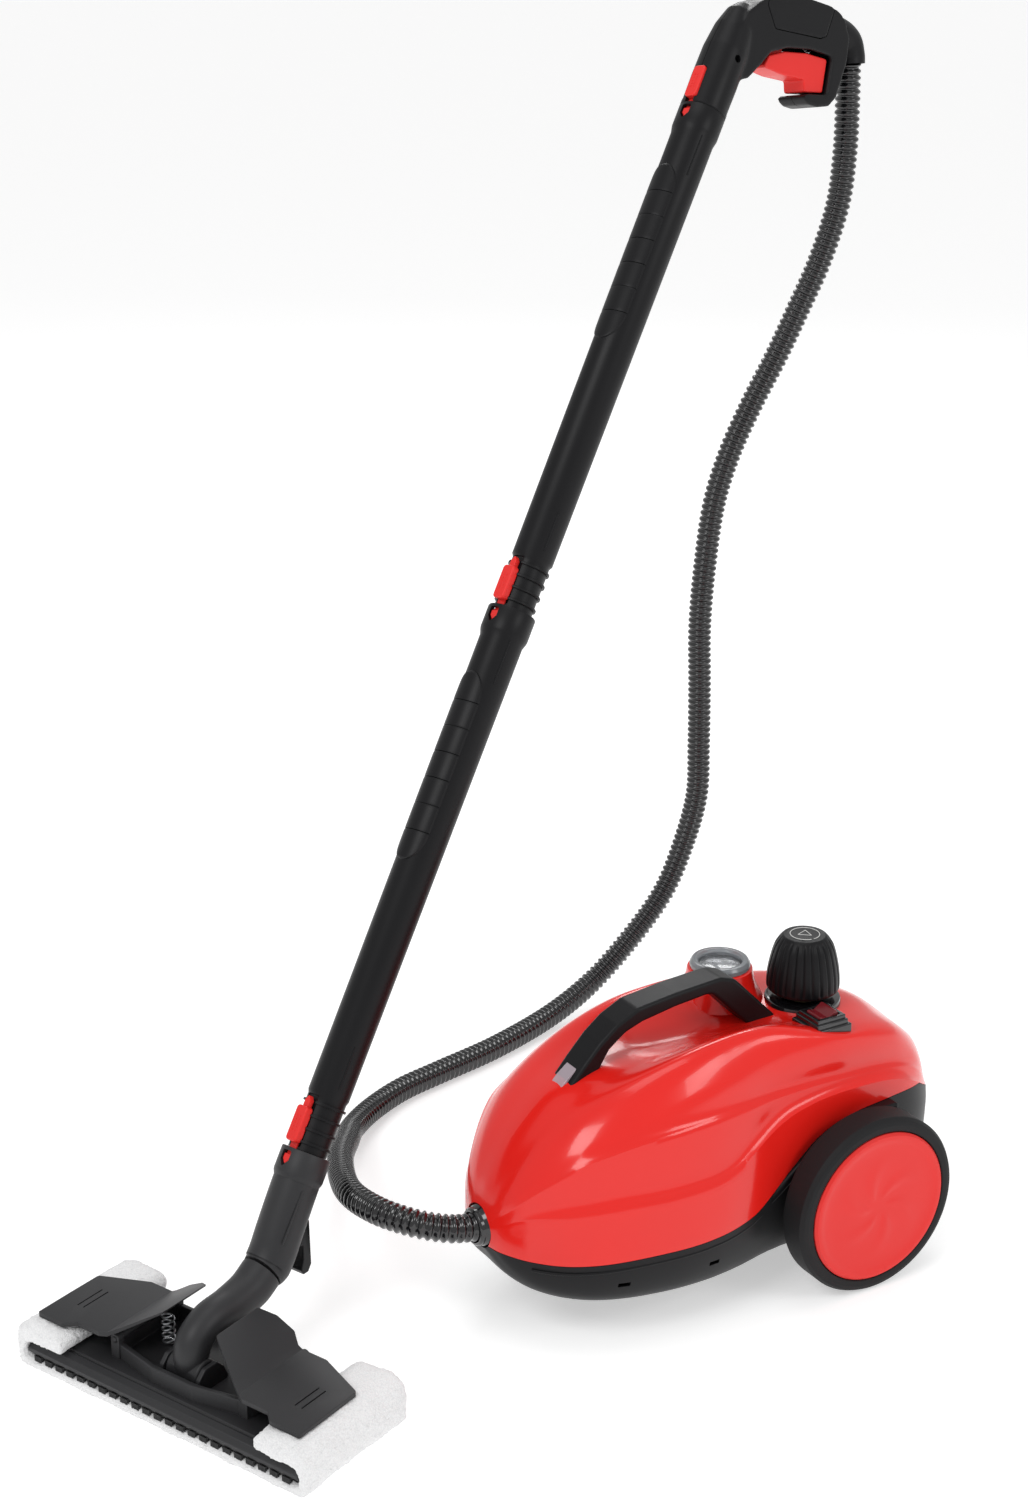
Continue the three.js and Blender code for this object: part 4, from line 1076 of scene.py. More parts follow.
class MOP_OT_gauge(MopPart, bpy.types.Operator):
    """Pressure gauge: case, dial with its scale, needle, lens and bezel"""
    bl_idname = "mop.gauge"
    bl_label = "Gauge"

    def execute(self, context):
        at = (*GAUGE, 0)
        case = turned("gauge_case", (
            (0, 222), (21.8, 222), (21.8, 246), (19.9, 246), (19.9, 239.7), (0, 239.7)), 64, at=at)
        finish(case, "gauge_body", coat("black_satin"), CANISTER)
        face = bevel(rod("dial", 19.5, 240, 241.1, 64, at=at), 0.2)
        finish(face, "gauge_dial", coat("dial_white"), CANISTER)
        marks = []
        for k in range(28):
            angle = math.radians(225 - 10 * k)
            inner = 14.6 if k % 3 == 0 else 16.4
            turn = Matrix.Translation(Vector(at) * MM) @ Matrix.Rotation(angle, 4, "Z")
            tick = block("tick", (inner, 18.4), (-0.22, 0.22), (241.1, 241.3))
            tick.data.transform(turn)
            marks.append(tick)
        for k in range(10):
            angle = math.radians(225 - 30 * k)
            marks.append(numeral(str(k), GAUGE[0] + 11.4 * math.cos(angle),
                                 GAUGE[1] + 11.4 * math.sin(angle), 241.15, 3.6))
        trim(joined("dial_scale", *marks), "gauge_dial", coat("black_satin"), CANISTER)
        hub = bevel(rod("needle", 2.2, 241.8, 243.8, 32), 0.4)
        hand = extruded("needle_hand", ((-1.1, -5), (1.1, -5), (0.35, 15), (-0.35, 15)), 242, 242.8, "xy")
        hand.data.transform(Matrix.Rotation(math.radians(120), 4, "Z"))
        needle = joined("gauge_hand", hub, hand)
        needle.data.transform(Matrix.Translation(Vector(at) * MM))
        finish(needle, "gauge_needle", coat("black_satin"), CANISTER)
        glass = turned("gauge_window", (
            (0, 246.4), (20, 246.4), (20, 249.4), (17, 250.2), (0, 250.6)), 64, at=at)
        finish(glass, "gauge_lens", coat("clear_plastic"), CANISTER)
        ring = turned("gauge_ring", rounded((
            (20.4, 247.8), (26.2, 247.8), (26.2, 251.4), (24, 254.6), (20.4, 254.6), (18.6, 252.6),
            (18.6, 251), (20.4, 251)), 0.8, 3), 80, at=at, closed=True)
        finish(ring, "gauge_bezel", coat("grey_clear"), CANISTER)
        return {"FINISHED"}


def numeral(digit, x, y, z, height):
    """A flat raised digit."""
    bpy.ops.object.text_add(location=(0, 0, 0))
    text = bpy.context.active_object
    text.data.body = digit
    text.data.size = height * MM
    text.data.extrude = 0.1 * MM
    text.data.align_x = "CENTER"
    text.data.align_y = "CENTER"
    bpy.ops.object.convert(target="MESH")
    text.data.transform(Matrix.Translation(Vector((x, y, z)) * MM) @ Matrix.Rotation(math.pi, 4, "Z"))
    return text


class MOP_OT_switch(MopPart, bpy.types.Operator):
    """Rocker switch in its stepped housing"""
    bl_idname = "mop.switch"
    bl_label = "Switch"

    def execute(self, context):
        x, y = SWITCH
        steps = ((17.5, 18.5, 206, 225.5, 1.2), (15.5, 16, 224, 229.5, 1.0), (13.5, 14.5, 228, 233, 0.8))
        tiers = [block("switch_tier", (x - a, x + a), (y - b, y + b), (low, high), edge)
                 for a, b, low, high, edge in steps]
        housing = carve(*tiers, operation="UNION")
        carve(housing, block("switch_pit", (x - 10.3, x + 10.3), (y - 11.6, y + 11.6), (217, 240)))
        smooth(housing, 30)
        finish(housing, "switch_housing", coat("black_gloss"), CANISTER)
        side = ((y - 8.5, 233.5), (y - 2, 231.8), (y + 7.5, 238), (y + 10, 230), (y + 4, 222),
                (y - 4, 222), (y - 10, 229))
        rocker = extruded("rocker", rounded(side, 2.2, 5), x - 10, x + 10)
        smooth(bevel(rocker, 0.7, 3, 45), 40)
        finish(rocker, "switch_rocker", coat("smoked_red"), CANISTER)
        return {"FINISHED"}


class MOP_OT_gland(MopPart, bpy.types.Operator):
    """Ringed gland where the hose leaves the canister, and the inlet at the rear"""
    bl_idname = "mop.gland"
    bl_label = "Gland and inlet"

    def execute(self, context):
        profile = ((12.9, -289), (18.6, -289), (18.6, -305), (16.8, -306.5), (16.8, -309), (18, -310.5),
                   (18, -315), (16, -318), (16, -321), (14.6, -322.5), (12.9, -322.5))
        gland = turned("hose_gland", rounded(profile, 0.8, 3), 64, "y", (0, 0, SOCKET_Z), closed=True)
        finish(gland, "hose_socket", coat("black_gloss"), CANISTER)
        inlet = carve(block("inlet", (-17, 17), (112, 128), (83, 107), 1.5),
                      block("inlet_room", (-13, 13), (118, 131), (86, 104), 1.0))
        finish(smooth(inlet), "power_inlet", coat("black_satin"), CANISTER)
        pins = [rod("inlet_pin", 1.6, 112, 125, 16, "y", (x, 0, 95)) for x in (-6, 6)]
        trim(joined("inlet_pins", *pins), "power_inlet", coat("brass"), CANISTER)
        return {"FINISHED"}


class MopWheel(bpy.types.PropertyGroup):
    blades: bpy.props.IntProperty(
        name="Blades", default=6, min=3, max=9, description="Curved blades pressed in the hubcap")
    relief: bpy.props.FloatProperty(
        name="Relief", default=1.0 * MM, min=0, max=4 * MM, unit="LENGTH",
        description="Height of the blades")


class MOP_OT_wheels(MopPart, bpy.types.Operator):
    """Rear wheels with their tyres and embossed hubcaps, and the caster"""
    bl_idname = "mop.wheels"
    bl_label = "Wheels"

    def execute(self, context):
        size = context.scene.mop_wheel
        at = (0, 0, WHEEL_Z)
        for name, side in (("near", 1), ("far", -1)):
            flip = CANISTER @ Matrix.Diagonal((side, 1, 1, 1))
            tread = turned("tyre", rounded((
                (60, 95), (76, 95), (80, 99), (80, 121), (77.5, 125), (74, 126), (68.2, 126),
                (68.2, 121.8), (60, 121.8)), 2.2, 5), 128, "x", at, closed=True)
            place_side(tread, flip, side)
            finish(tread, "tyre_" + name, coat("tyre_rubber"))
            tread.name = "tyre_" + name + "_finish"
            cap = self.hubcap(size)
            cap.data.transform(Matrix.Translation(Vector(at) * MM))
            place_side(cap, flip, side)
            finish(cap, "hubcap_" + name, coat("red_satin"))
            cap.name = "hubcap_" + name + "_finish"
            core = from_cad("wheel_" + name, 0.8)
            finish(core, "wheel_" + name, coat("black_satin"))
        finish(from_cad("caster_fork", 0.6), "caster_fork", coat("grey_satin"))
        tread = rectangle((2.3, 13), (-10, 10), 2)
        roller = turned("caster_roller", tread, 48, "x", ROLLER_AT, closed=True)
        finish(roller, "caster_wheel", coat("tyre_rubber"), CANISTER)
        return {"FINISHED"}

    def hubcap(self, size):
        """A disc with a rolled rim and curved blades pressed round its middle."""
        across, around = 34, 144
        outline = ((0, 126.2), (20, 126.2), (50, 126.2), (58, 126.8), (62, 127.8), (65.5, 127.8),
                   (67.2, 126.8), (67.6, 125.6))
        rows = []
        for i in range(across + 1):
            r = 0.6 + 67.0 * i / across
            row = []
            for k in range(around):
                angle = TAU * k / around
                swirl = size.blades * (angle + 1.1 * r / 60)
                near = ease((r - 6) / 12) * ease((52 - r) / 26)
                lift = size.relief / MM * near * (0.5 + 0.5 * math.sin(swirl)) ** 2
                out = value(outline, r) + lift * 0.9
                row.append(Vector((out, r * math.cos(angle), r * math.sin(angle))))
            rows.append(row)
        inner, radius = 121.9, 67.6
        rows.append([Vector((inner, p.x, p.y)) for p in circle(radius, around, 0)])
        cap = skin("hubcap", rows, around=True, ends=True)
        tidy_normals()
        return smooth(cap, 40)


def place_side(obj, flip, side):
    """Puts a wheel piece on its side of the canister, with its faces still pointing out."""
    obj.data.transform(flip)
    if side < 0:
        obj.data.flip_normals()


# ---- wand ---------------------------------------------------------------------

def socket_tools(top):
    """What is cut from a tube's upper end: its two bores and the window for the catch."""
    window = shield(4.9, top - 3, top - 11, top - 17, 1.8)
    return [rod("wide_bore", 17.4, top - 20, top + 5, 48), rod("narrow_bore", 15, top - 42, top - 19, 48),
            extruded("catch_window", window, -30, -14.9, "xz")]


def grip_panel(low, high, radius, half_angle=50):
    """A raised panel with arched ends and cross lines, on the latch side of a tube."""
    arch, across = 26, 24
    lines = [low + arch + k * (high - low - 2 * arch) / 5 for k in range(6)]
    heights = sorted({*(low + (high - low) * k / 90 for k in range(91)),
                      *(line + step for line in lines for step in (-0.9, -0.5, 0.5, 0.9))})
    rows = []
    for z in heights:
        end = min(z - low, high - z)
        share = math.sqrt(max(1 - (1 - min(end / arch, 1)) ** 2, 0))
        half = math.radians(half_angle) * max(share, 0.02)
        cut = any(abs(z - line) < 0.6 for line in lines)
        lift = -0.3 if cut else 0.55
        row = []
        for k in range(across + 1):
            a = -math.pi / 2 - half + 2 * half * k / across
            r = radius(z) + (lift if 0 < k < across and 0 < end else -0.6)
            row.append(Vector((r * math.cos(a), r * math.sin(a), z)))
        rows.append(row)
    panel = skin("grip_panel", rows)
    return smooth(modify(panel, "SOLIDIFY", thickness=1.0 * MM, offset=1), 30)


def slot_line(low, high, radius, angle):
    """A narrow raised line along a tube."""
    a = math.radians(angle)
    run = [Vector((radius * math.cos(a), radius * math.sin(a), z)) for z in (high, (low + high) / 2, low)]
    return swept("slot_line", even(run, 24), 0.8, 10)


class MOP_OT_tubes(MopPart, bpy.types.Operator):
    """The two wand tubes with their grip panels, ribs and latch windows"""
    bl_idname = "mop.tubes"
    bl_label = "Wand tubes"

    def execute(self, context):
        for name, bottom, top, low_r, high_r in (
            ("lower_tube", NECK_TOP, MIDDLE_TOP, 17.6, 19),
            ("upper_tube", MIDDLE_TOP, UPPER_TOP, 18.2, 19.6),
        ):
            ribs = [p for step in (6, 17, 28, 39) for p in (
                (16.5, bottom + step), (18.1, bottom + step), (18.4, bottom + step + 0.4),
                (18.4, bottom + step + 1.8), (18.1, bottom + step + 2.2), (16.5, bottom + step + 2.2))]
            body = turned(name, (
                (0, bottom - 38), (14.6, bottom - 38), (14.6, bottom + 0.3), (16.5, bottom + 0.3), *ribs,
                (16.5, bottom + 46), (low_r, bottom + 49), (high_r, top - 27), (20.6, top - 22),
                (21, top - 20), (21, top - 1), (20.4, top), (0, top)), 80)
            carve(body, rod("bore", 12.4, bottom - 50, top - 30, 40), *socket_tools(top),
                  block("latch_room", (-6.7, 6.7), (-30, -13.9), (bottom + 2, bottom + 46), 1.5),
                  block("latch_relief", (-4.5, 4.5), (-30, -12.9), (bottom - 16, bottom + 3)))
            smooth(body, 35)

            def radius(z):
                return low_r + (high_r - low_r) * (z - bottom - 49) / (top - 27 - bottom - 49)

            panel = grip_panel(bottom + 250, bottom + 418, radius)
            lines = [slot_line(top - 66, top - 27, high_r - 0.1, -22),
                     slot_line(bottom + 56, bottom + 92, low_r - 0.1, -22)]
            finish(joined(name, body, panel, *lines), name, coat("black_satin"), WAND)
        return {"FINISHED"}


class MOP_OT_latches(MopPart, bpy.types.Operator):
    """Press buttons with their catches, one at each joint of the wand"""
    bl_idname = "mop.latches"
    bl_label = "Latches"

    def execute(self, context):
        for node, top in (("latch_lower", NECK_TOP), ("latch_upper", MIDDLE_TOP), ("gun_latch", UPPER_TOP)):
            pad = rectangle((-6.3, 6.3), (top + 4.5, top + 34.5), 3.4, 5)
            button = moulded(node, pad, -22.8, -15.2, 1.3, 4, plane="xz")
            arm = extruded("arm", (
                (-15.2, top - 14), (-16.5, top - 14), (-16.5, top + 12), (-15.2, top + 12)), -4, 4)
            bolt = shield(3.9, top - 5.6, top - 10.4, top - 14.4, 1.4)
            catch = moulded("catch", bolt, -19.2, -15.6, 0.6, plane="xz")
            shapes = [button, arm, catch]
            if node != "gun_latch":
                tip = shield(3, top + 34, top + 40, top + 44, 0.8)
                shapes.append(moulded("tip", tip, -20, -15.2, 0.6, plane="xz"))
            for row in range(5):
                for side in (-1, 1):
                    z = top + 13.5 + row * 3
                    shapes.append(block("pip", (side * 1.7 - 0.7, side * 1.7 + 0.7), (-23.15, -22.4),
                                        (z - 0.7, z + 0.7), 0.25, 2))
            finish(joined(node + "_finish", *shapes), node, coat("red_satin"), WAND)
        return {"FINISHED"}


GUN_SIDE = (
    (0, 1090), (22, 1108), (31, 1128), (37, 1144), (55, 1160), (82, 1175.5), (111, 1186.5),
    (121, 1153), (97, 1139), (95, 1134.5), (104, 1132.5), (116, 1137), (129, 1146), (134, 1158),
    (133, 1172), (131, 1194), (124, 1213), (111, 1224), (100, 1226), (86, 1223.5), (69, 1217),
    (43, 1207), (21, 1192), (5, 1176), (-6, 1157), (-8, 1110),
)
TRIGGER_ROOM = (
    (34, 1126), (64, 1137), (91, 1149.6), (96.6, 1140.4), (121, 1153), (113, 1196), (82, 1186),
    (56, 1171), (36, 1152),
)
TRIGGER_SIDE = (
    (38, 1130), (64, 1138), (91, 1150), (97, 1141), (118.5, 1153.5), (109.5, 1183), (82, 1172),
    (56, 1157), (40, 1143),
)
CUFF = ((106, 1212), (122, 1219), (137, 1219.5), (146.5, 1212), (151, 1205.3))
INLAY = ((8.5, 1240), (12.5, 1177), (31.5, 1164.5), (88, 1191), (94, 1197), (91, 1240))
INLAY_GAP = ((-0.7, 0), (-0.7, -0.7), (-0.2, -0.9), (0.4, -0.9), (0.8, -0.3), (0.8, 0))


class MOP_OT_gun(MopPart, bpy.types.Operator):
    """Steam gun: two shells, grip inlay, trigger and hose cuff"""
    bl_idname = "mop.gun"
    bl_label = "Gun"

    def execute(self, context):
        body = self.whole_body()
        band = extruded("inlay_band", rounded(INLAY, 4), -30, 30)
        inlay = copied(body, "grip_inlay_finish")
        carve(inlay, copied(band, "band_copy"), operation="INTERSECT")
        bevel(inlay, 0.5, 2, 50)
        finish(smooth(inlay, 40), "grip_inlay", coat("black_satin"), WAND)
        wider = [(y + dy, z + dz) for (y, z), (dy, dz) in zip(INLAY, INLAY_GAP)]
        groove = extruded("inlay_room", rounded(wider, 4), -30, 30)
        bpy.data.objects.remove(band)
        carve(body, groove)
        for name, low, high in (("left", -40, -0.25), ("right", 0.25, 40)):
            half = copied(body, "gun_shell_" + name + "_finish")
            carve(half, block("half_room", (low, high), (-60, 220), (900, 1300)), operation="INTERSECT")
            finish(smooth(half, 40), "gun_shell_" + name, coat("black_satin"), WAND)
        bpy.data.objects.remove(body)
        self.small_parts()
        return {"FINISHED"}

    def whole_body(self):
        """Barrel and grip blended into one moulding, with its hollows cut after."""
        top = UPPER_TOP
        barrel = turned("barrel", (
            (0, top + 1), (20.6, top + 1), (21, top + 30), (20.6, 1120), (17.8, 1143), (12.5, 1160.5),
            (5, 1170), (0, 1171.5)), 48)
        grip = extruded("grip", rounded(GUN_SIDE, 5, 5), -16.6, 16.6)
        bevel(grip, 6.0, 4, 50)
        carve(barrel, grip, operation="UNION")
        modify(barrel, "REMESH", mode="VOXEL", voxel_size=1.25 * MM)
        modify(barrel, "SMOOTH", factor=0.5, iterations=9)
        modify(barrel, "DECIMATE", ratio=0.55)
        spigot = rod("spigot", 14.6, top - 38, top + 6, 48)
        mouth = turned("mouth", (
            (0, top + 0.3), (20.3, top + 0.3), (21, top + 1.2), (21, top + 5), (0, top + 5)), 80)
        carve(barrel, mouth, spigot, operation="UNION")
        pad = rectangle((-6.8, 6.8), (top + 3.9, top + 35.1), 3.6, 5)
        carve(
            barrel,
            extruded("trigger_room", TRIGGER_ROOM, -13.2, 13.2),
            rod("bore", 12.4, top - 45, 1135, 32),
            extruded("button_room", pad, -30, -13.9, "xz"),
            block("latch_relief", (-4.5, 4.5), (-30, -12.9), (top - 16, top + 6)),
            rod("screw_hole", 3.4, 14, 30, 24, "x", (0, -2, 1112)),
            swept("cuff_room", upright(CUFF), 15.0, 24),
        )
        return smooth(barrel, 40)

    def small_parts(self):
        """The trigger, the hose's cuff and the trigger's spring."""
        lever = moulded("trigger_lever", rounded(TRIGGER_SIDE, 3), -12.6, 12.6, 1.8, 3, 40)
        tab = extruded("trigger_tab", ((44, 1140), (62, 1150), (57, 1168), (46, 1167)), -5, 5)
        pin = rod("trigger_pin", 2.5, -16, 16, 24, "x", (0, 50, 1163))
        finish(joined("trigger_finish", lever, tab, pin), "trigger", coat("red_satin"), WAND)
        path = upright(CUFF, 10)
        cuff = swept("cuff", path, 14.8, 40)
        carve(cuff, swept("cuff_bore", [path[0] - (path[1] - path[0]), *path[1:-1],
                                        path[-1] + (path[-1] - path[-2])], 12.9, 32))
        bevel(cuff, 0.8, 3, 50)
        finish(smooth(cuff, 45), "hose_cuff", coat("black_satin"), WAND)
        wire = coil(4, 4.5, 1181, 30, 110, (0, GUN_SPRING_Y))
        spring = swept("gun_spring", wire, 0.8, 10)
        finish(spring, "trigger_spring", coat("steel"), WAND)
        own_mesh(spring)


def copied(obj, name):
    twin = bpy.data.objects.new(name, obj.data.copy())
    bpy.context.collection.objects.link(twin)
    return twin


# ---- floor head ---------------------------------------------------------------

NECK_PATH = ((125, 77.5), (131.3, 80.7), (138.6, 89.6), (146.6, 103), (165, 132), (183.4, 158.7))
ELBOW_GIRTH = ((0, 13), (0.2, 14.6), (0.45, 14.8), (0.85, 17.2), (1, 17.4))
ELBOW_PATH = ((40, 32), (40.5, 47), (47, 58), (62, 65), (85, 65.5), (108, 68.8), (123.5, 76.7))


class MOP_OT_neck(MopPart, bpy.types.Operator):
    """Neck pipe with its collar and parking hook, and the swivelling elbow"""
    bl_idname = "mop.neck"
    bl_label = "Neck"

    def execute(self, context):
        to_head = HEAD.inverted() @ WAND
        pipe = swept("neck", upright(NECK_PATH, 10), lambda t: 17.6 + 1.9 * min(t * 5, 1), 56)
        collar = turned("neck_collar", (
            (0, NECK_TOP - 24), (19.4, NECK_TOP - 24), (20.7, NECK_TOP - 21), (21, NECK_TOP - 19),
            (21, NECK_TOP - 1), (20.4, NECK_TOP), (0, NECK_TOP)), 80)
        above = rod("above", 40, NECK_TOP, NECK_TOP + 40, 24)
        tools = [above, *socket_tools(NECK_TOP)]
        for obj in (collar, *tools):
            obj.data.transform(to_head)
        carve(pipe, collar, operation="UNION")
        carve(pipe, *tools, swept("neck_bore", upright(NECK_PATH), 12.4, 32))
        line = slot_line(NECK_TOP - 74, NECK_TOP - 30, 19.3, -18)
        line.data.transform(to_head)
        finish(joined("neck_finish", smooth(pipe, 40), line), "neck_pipe", coat("grey_satin"), HEAD)

        side = ((166, 102), (175, 104), (176, 62), (172, 56), (166, 56), (163, 61), (166, 70), (166, 84),
                (154, 84), (154, 96), (166, 96))
        hook = moulded("hook", rounded(side, 1.5, 3), -8, 8, 1.2, 3, 50)
        carve(hook, swept("hook_room", upright(NECK_PATH), 19.8, 48))
        finish(hook, "parking_hook", coat("black_satin"), HEAD)

        elbow = swept("elbow", upright(ELBOW_PATH, 10), lambda t: value(ELBOW_GIRTH, t), 56)
        drum = bevel(rod("drum", 13, -16.5, 16.5, 48, "x", (0, *NOSE)), 2)
        stubs = rod("stubs", 4, -21, 21, 32, "x", (0, *NOSE))
        carve(elbow, drum, stubs, operation="UNION")
        carve(elbow, swept("elbow_bore", upright(ELBOW_PATH), 7, 16))
        finish(smooth(elbow, 45), "neck_elbow", coat("grey_satin"), HEAD)
        return {"FINISHED"}


class MopHead(bpy.types.PropertyGroup):
    half_length: bpy.props.FloatProperty(
        name="Half length", default=143.5 * MM, min=100 * MM, max=200 * MM, unit="LENGTH",
        description="Half the plate's length")


class MOP_OT_plate(MopPart, bpy.types.Operator):
    """Head plate with its lip, tub and hinge ears, and the bristle strip"""
    bl_idname = "mop.plate"
    bl_label = "Head plate"

    def execute(self, context):
        half = context.scene.mop_head.half_length / MM
        section = ((4, 7.4), (4, 13.6), (0, 13.6), (0, 17), (3.4, 19.2), (4.2, 20.6), (10.5, 22.2),
                   (11.2, 21.6), (12.2, 21.6), (13, 23), (26, 24), (30, 23.2), (112, 23), (118, 19),
                   (118, 7.4))
        slab = smooth(bevel(extruded("slab", section, -half, half), 0.5, 2, 40), 30)
        rim = rounded(((-73, 27), (-21, 17), (21, 17), (73, 27), (73, 98), (-73, 98)), 5)
        room = rounded(((-69, 31), (-23, 22), (23, 22), (69, 31), (69, 94), (-69, 94)), 4)
        tub = carve(extruded("tub", rim, 21, 37, "xy"), extruded("tub_room", room, 23.4, 60, "xy"),
                    block("elbow_room", (-19.4, 19.4), (62, 110), (23.4, 60)))
        parts = [slab, smooth(bevel(tub, 1.0, 3, 50), 40)]
        cheek = rounded(((22, 22), (26, 36), (33, 43), (47, 43), (54, 36), (60, 22)), 4)
        for low, high in ((-21.5, -17.3), (17.3, 21.5)):
            parts.append(moulded("cheek", cheek, low, high, 0.8, 2, 50))
        x, z = CLAMP_PIN
        for side in (-1, 1):
            for low, high in ((24, 30.5), (92, 98.5)):
                post = block("ear", (side * x - 4.5, side * x + 4.5), (low, high), (22, z), 0.6, 2)
                knuckle = bevel(rod("knuckle", 4.5, low, high, 32, "y", (side * x, 0, z)), 0.8)
                bolt = bevel(rod("bolt", 2.2, low - 0.8, high + 0.8, 20, "y", (side * x, 0, z)), 0.4)
                parts += [post, knuckle, bolt]
        plate = joined("plate", *parts)
        finish(plate, "head_plate", coat("grey_satin"), HEAD)

        bar = block("strip", (-138, 138), (0.8, 3.6), (12.1, 13.2), 0.3, 2)
        places = []
        for tuft in range(23):
            for k in range(9):
                for row, y in enumerate((-0.4, 1.2, 2.8)):
                    lean = 0.25 * math.sin(2.3 * tuft + 1.7 * k + row)
                    places.append((-132 + tuft * 12 - 3.4 + k * 0.85, y, lean))
        finish(joined("bristles", bar, self.bristles(places)), "bristle_strip", coat("bristle_black"), HEAD)
        return {"FINISHED"}

    def bristles(self, places):
        """Many thin tapered bristles in one mesh."""
        points, faces = [], []
        sides = 5
        for x, y, lean in places:
            top = len(points)
            tip = top + sides
            points += circle(0.55, sides, 12.6, (x, y)) + circle(0.45, sides, 7.5, (x + lean, y))
            faces += [(top + k, top + (k + 1) % sides, tip + (k + 1) % sides, tip + k)
                      for k in range(sides)]
            faces += [tuple(range(top, tip)), tuple(range(tip, tip + sides))]
        obj = from_points("bristle_tufts", points, faces=faces)
        tidy_normals()
        return smooth(obj, 50)


class MOP_OT_clamps(MopPart, bpy.types.Operator):
    """The two sprung clamps that hold the cloth"""
    bl_idname = "mop.clamps"
    bl_label = "Clamps"

    def execute(self, context):
        x, z = CLAMP_PIN
        front = ((139, 43), (70, 45.6), (62, 50), (29, 70.5), (27, 73.5), (62, 53.6), (70, 49.4),
                 (139, 47))
        plan = ((28, 40), (58, 24), (76, 15), (101, 16), (110, 8), (139, 9), (138, 76), (94, 93), (66, 92),
                (56, 99), (40, 97), (27, 88))
        for name, side in (("right", 1), ("left", -1)):
            sheet = extruded("sheet", rounded(front, 1.2, 3), 0, 110, "xz")
            carve(sheet, extruded("plan", rounded(plan, 3, 4), 30, 90, "xy"), operation="INTERSECT")
            smooth(bevel(sheet, 0.7, 3, 45), 35)
            cuts = [block("press_line", (a, a + 1.3), (34, 62), (45.7, 60), 0.3, 2) for a in (112, 118.5)]
            carve(sheet, *cuts)
            barrel = bevel(rod("barrel", 3.6, 31, 91.5, 40, "y", (x, 0, z)), 0.5)
            rib = block("rib", (x - 1.8, x + 1.8), (33, 89), (z, 47.6), 0.4, 2)
            pin = rod("pin", 2, 25, 97.5, 20, "y", (x, 0, z))
            clamp = joined("clamp", smooth(sheet, 35), barrel, rib, pin)
            place_side(clamp, Matrix.Diagonal((side, 1, 1, 1)), side)
            clamp.name = "clamp_" + name + "_finish"
            finish(clamp, "clamp_" + name, coat("grey_satin"), HEAD)
            wire = coil(5, 5, 24.4, 29, 120, (side * SPRING_AT[0], SPRING_AT[1]))
            spring = swept("clamp_coil_" + name, wire, 0.9, 10)
            finish(spring, "clamp_spring_" + name, coat("steel"), HEAD)
            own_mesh(spring)
        return {"FINISHED"}


class MOP_OT_cloth(MopPart, bpy.types.Operator):
    """White terry cloth under the head, wrapped over both ends"""
    bl_idname = "mop.cloth"
    bl_label = "Cloth"

    def execute(self, context):
        inside, floor = CLOTH_POCKET
        half = ((149, 0.2), (152.5, 3), (153.5, 26), (150, 37.5), (140, 41.8), (108, 41.2), (100, 33),
                (102, 25.4), (inside, 24.2), (inside, floor))
        left = [(-u, z) for u, z in reversed(half)]
        wrap = extruded("mop_pad", [*half, *left], -4, 121, "xz")
        modify(wrap, "REMESH", mode="VOXEL", voxel_size=3.2 * MM)
        modify(wrap, "SMOOTH", factor=0.5, iterations=5)
        self.settle(wrap)
        modify(wrap, "SUBSURF", levels=1, render_levels=1)
        self.loops(wrap)
        for polygon in wrap.data.polygons:
            polygon.use_smooth = True
        wrap.name = "terry_mop_cloth"
        finish(wrap, "mop_cloth", coat("terry_cloth"), HEAD)
        return {"FINISHED"}

    def settle(self, wrap):
        """Puffs the pad out by simulation, with each point's travel capped."""
        most = 1.2 * MM
        rest = [v.co.copy() for v in wrap.data.vertices]
        activate(wrap)
        cloth = wrap.modifiers.new("Puff", "CLOTH")
        cloth.settings.use_pressure = True
        cloth.settings.uniform_pressure_force = 3
        cloth.settings.effector_weights.gravity = 0
        for step in range(1, 13):
            bpy.context.scene.frame_set(step)
        bpy.ops.object.modifier_apply(modifier=cloth.name)
        bpy.context.scene.frame_set(1)
        for vertex, start in zip(wrap.data.vertices, rest):
            travel = vertex.co - start
            if travel.length > most:
                travel *= most / travel.length
            vertex.co = start + travel

    def loops(self, wrap):
        """Uneven pile and broad folds, kept off the floor and out of the plate."""
        inside, floor = (size * MM for size in CLOTH_POCKET)
        normals = [Vector(n.vector) for n in wrap.data.vertex_normals]
        for vertex, n in zip(wrap.data.vertices, normals):
            p = vertex.co.copy()
            broad = noise.noise(p * 45) * 1.3
            fine = noise.noise(p * 420) * 0.9 + noise.noise(p * 900) * 0.5
            facing_in = abs(p.x) < inside and floor < p.z < 0.03 and n.z * (0.015 - p.z) < 0
            freedom = 0.25 if facing_in or n.z < -0.7 else 1.0
            p += n * (broad + fine) * MM * freedom
            p.z = max(p.z, 0.0002)
            vertex.co = p


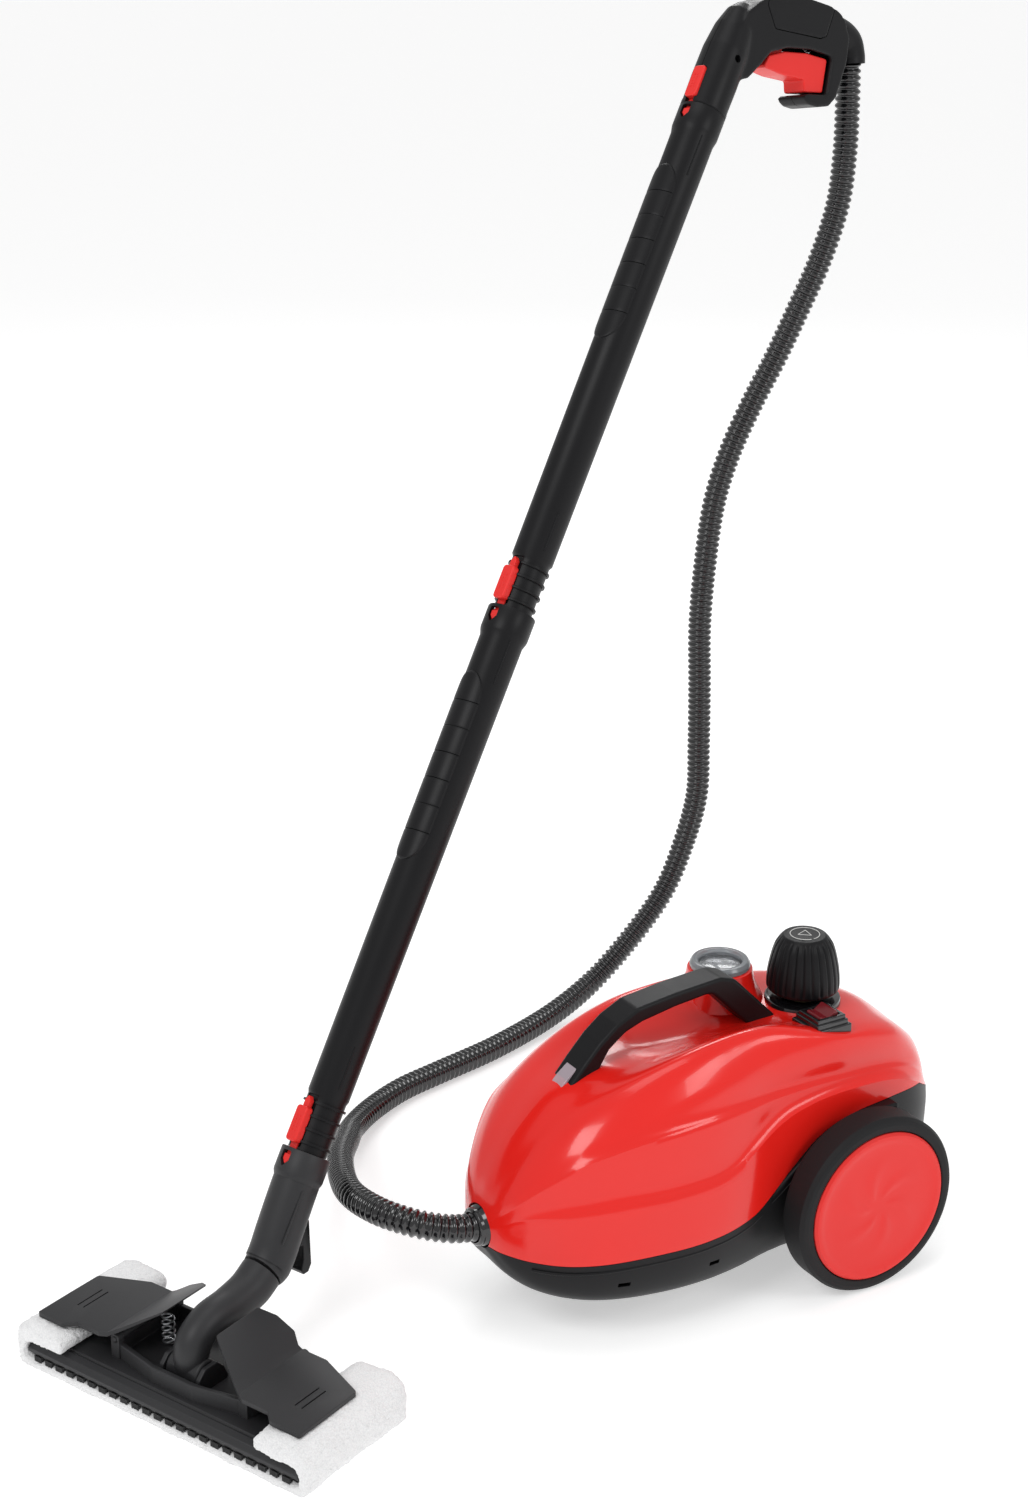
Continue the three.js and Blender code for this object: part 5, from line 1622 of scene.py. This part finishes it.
class MOP_OT_inner(MopPart, bpy.types.Operator):
    """Finishes for the pieces inside the casings, which keep their CAD shape"""
    bl_idname = "mop.inner"
    bl_label = "Inner pieces"

    def execute(self, context):
        shown = {n for obj in bpy.data.objects for n in obj.get("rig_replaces", [])}
        for node, obj in frame["nodes"].items():
            if node not in shown:
                obj.data.materials.clear()
                obj.data.materials.append(coat(SLOT_OF[node]))
        return {"FINISHED"}


# ---- panel and registration ---------------------------------------------------

ORDER = (
    MOP_OT_studio, MOP_OT_hose, MOP_OT_cover, MOP_OT_base, MOP_OT_handle, MOP_OT_filler,
    MOP_OT_gauge, MOP_OT_switch, MOP_OT_gland, MOP_OT_wheels, MOP_OT_tubes, MOP_OT_latches,
    MOP_OT_gun, MOP_OT_neck, MOP_OT_plate, MOP_OT_clamps, MOP_OT_cloth, MOP_OT_inner,
)
SETTINGS = {
    "mop_colours": MopColours, "mop_hose": MopHose, "mop_knob": MopKnob, "mop_wheel": MopWheel,
    "mop_head": MopHead,
}


class MOP_PT_panel(bpy.types.Panel):
    """Lists the steam mop's pieces and settings"""
    bl_idname = "MOP_PT_panel"
    bl_label = "Steam Mop"
    bl_space_type = "VIEW_3D"
    bl_region_type = "UI"
    bl_category = "Steam Mop"

    def draw(self, context):
        for name, group in SETTINGS.items():
            for setting in group.__annotations__:
                self.layout.prop(getattr(context.scene, name), setting)
        for operator in ORDER:
            self.layout.operator(operator.bl_idname)


def register():
    for group in SETTINGS.values():
        bpy.utils.register_class(group)
    for name, group in SETTINGS.items():
        setattr(bpy.types.Scene, name, bpy.props.PointerProperty(type=group))
    for operator in ORDER:
        bpy.utils.register_class(operator)
    bpy.utils.register_class(MOP_PT_panel)


def unregister():
    bpy.utils.unregister_class(MOP_PT_panel)
    for operator in reversed(ORDER):
        bpy.utils.unregister_class(operator)
    for name in SETTINGS:
        delattr(bpy.types.Scene, name)
    for group in SETTINGS.values():
        bpy.utils.unregister_class(group)


def main():
    register()
    for operator in ORDER:
        family, name = operator.bl_idname.split(".")
        if "FINISHED" not in getattr(getattr(bpy.ops, family), name)():
            raise RuntimeError(operator.bl_label + " was not finished")


if __name__ == "__main__":
    main()
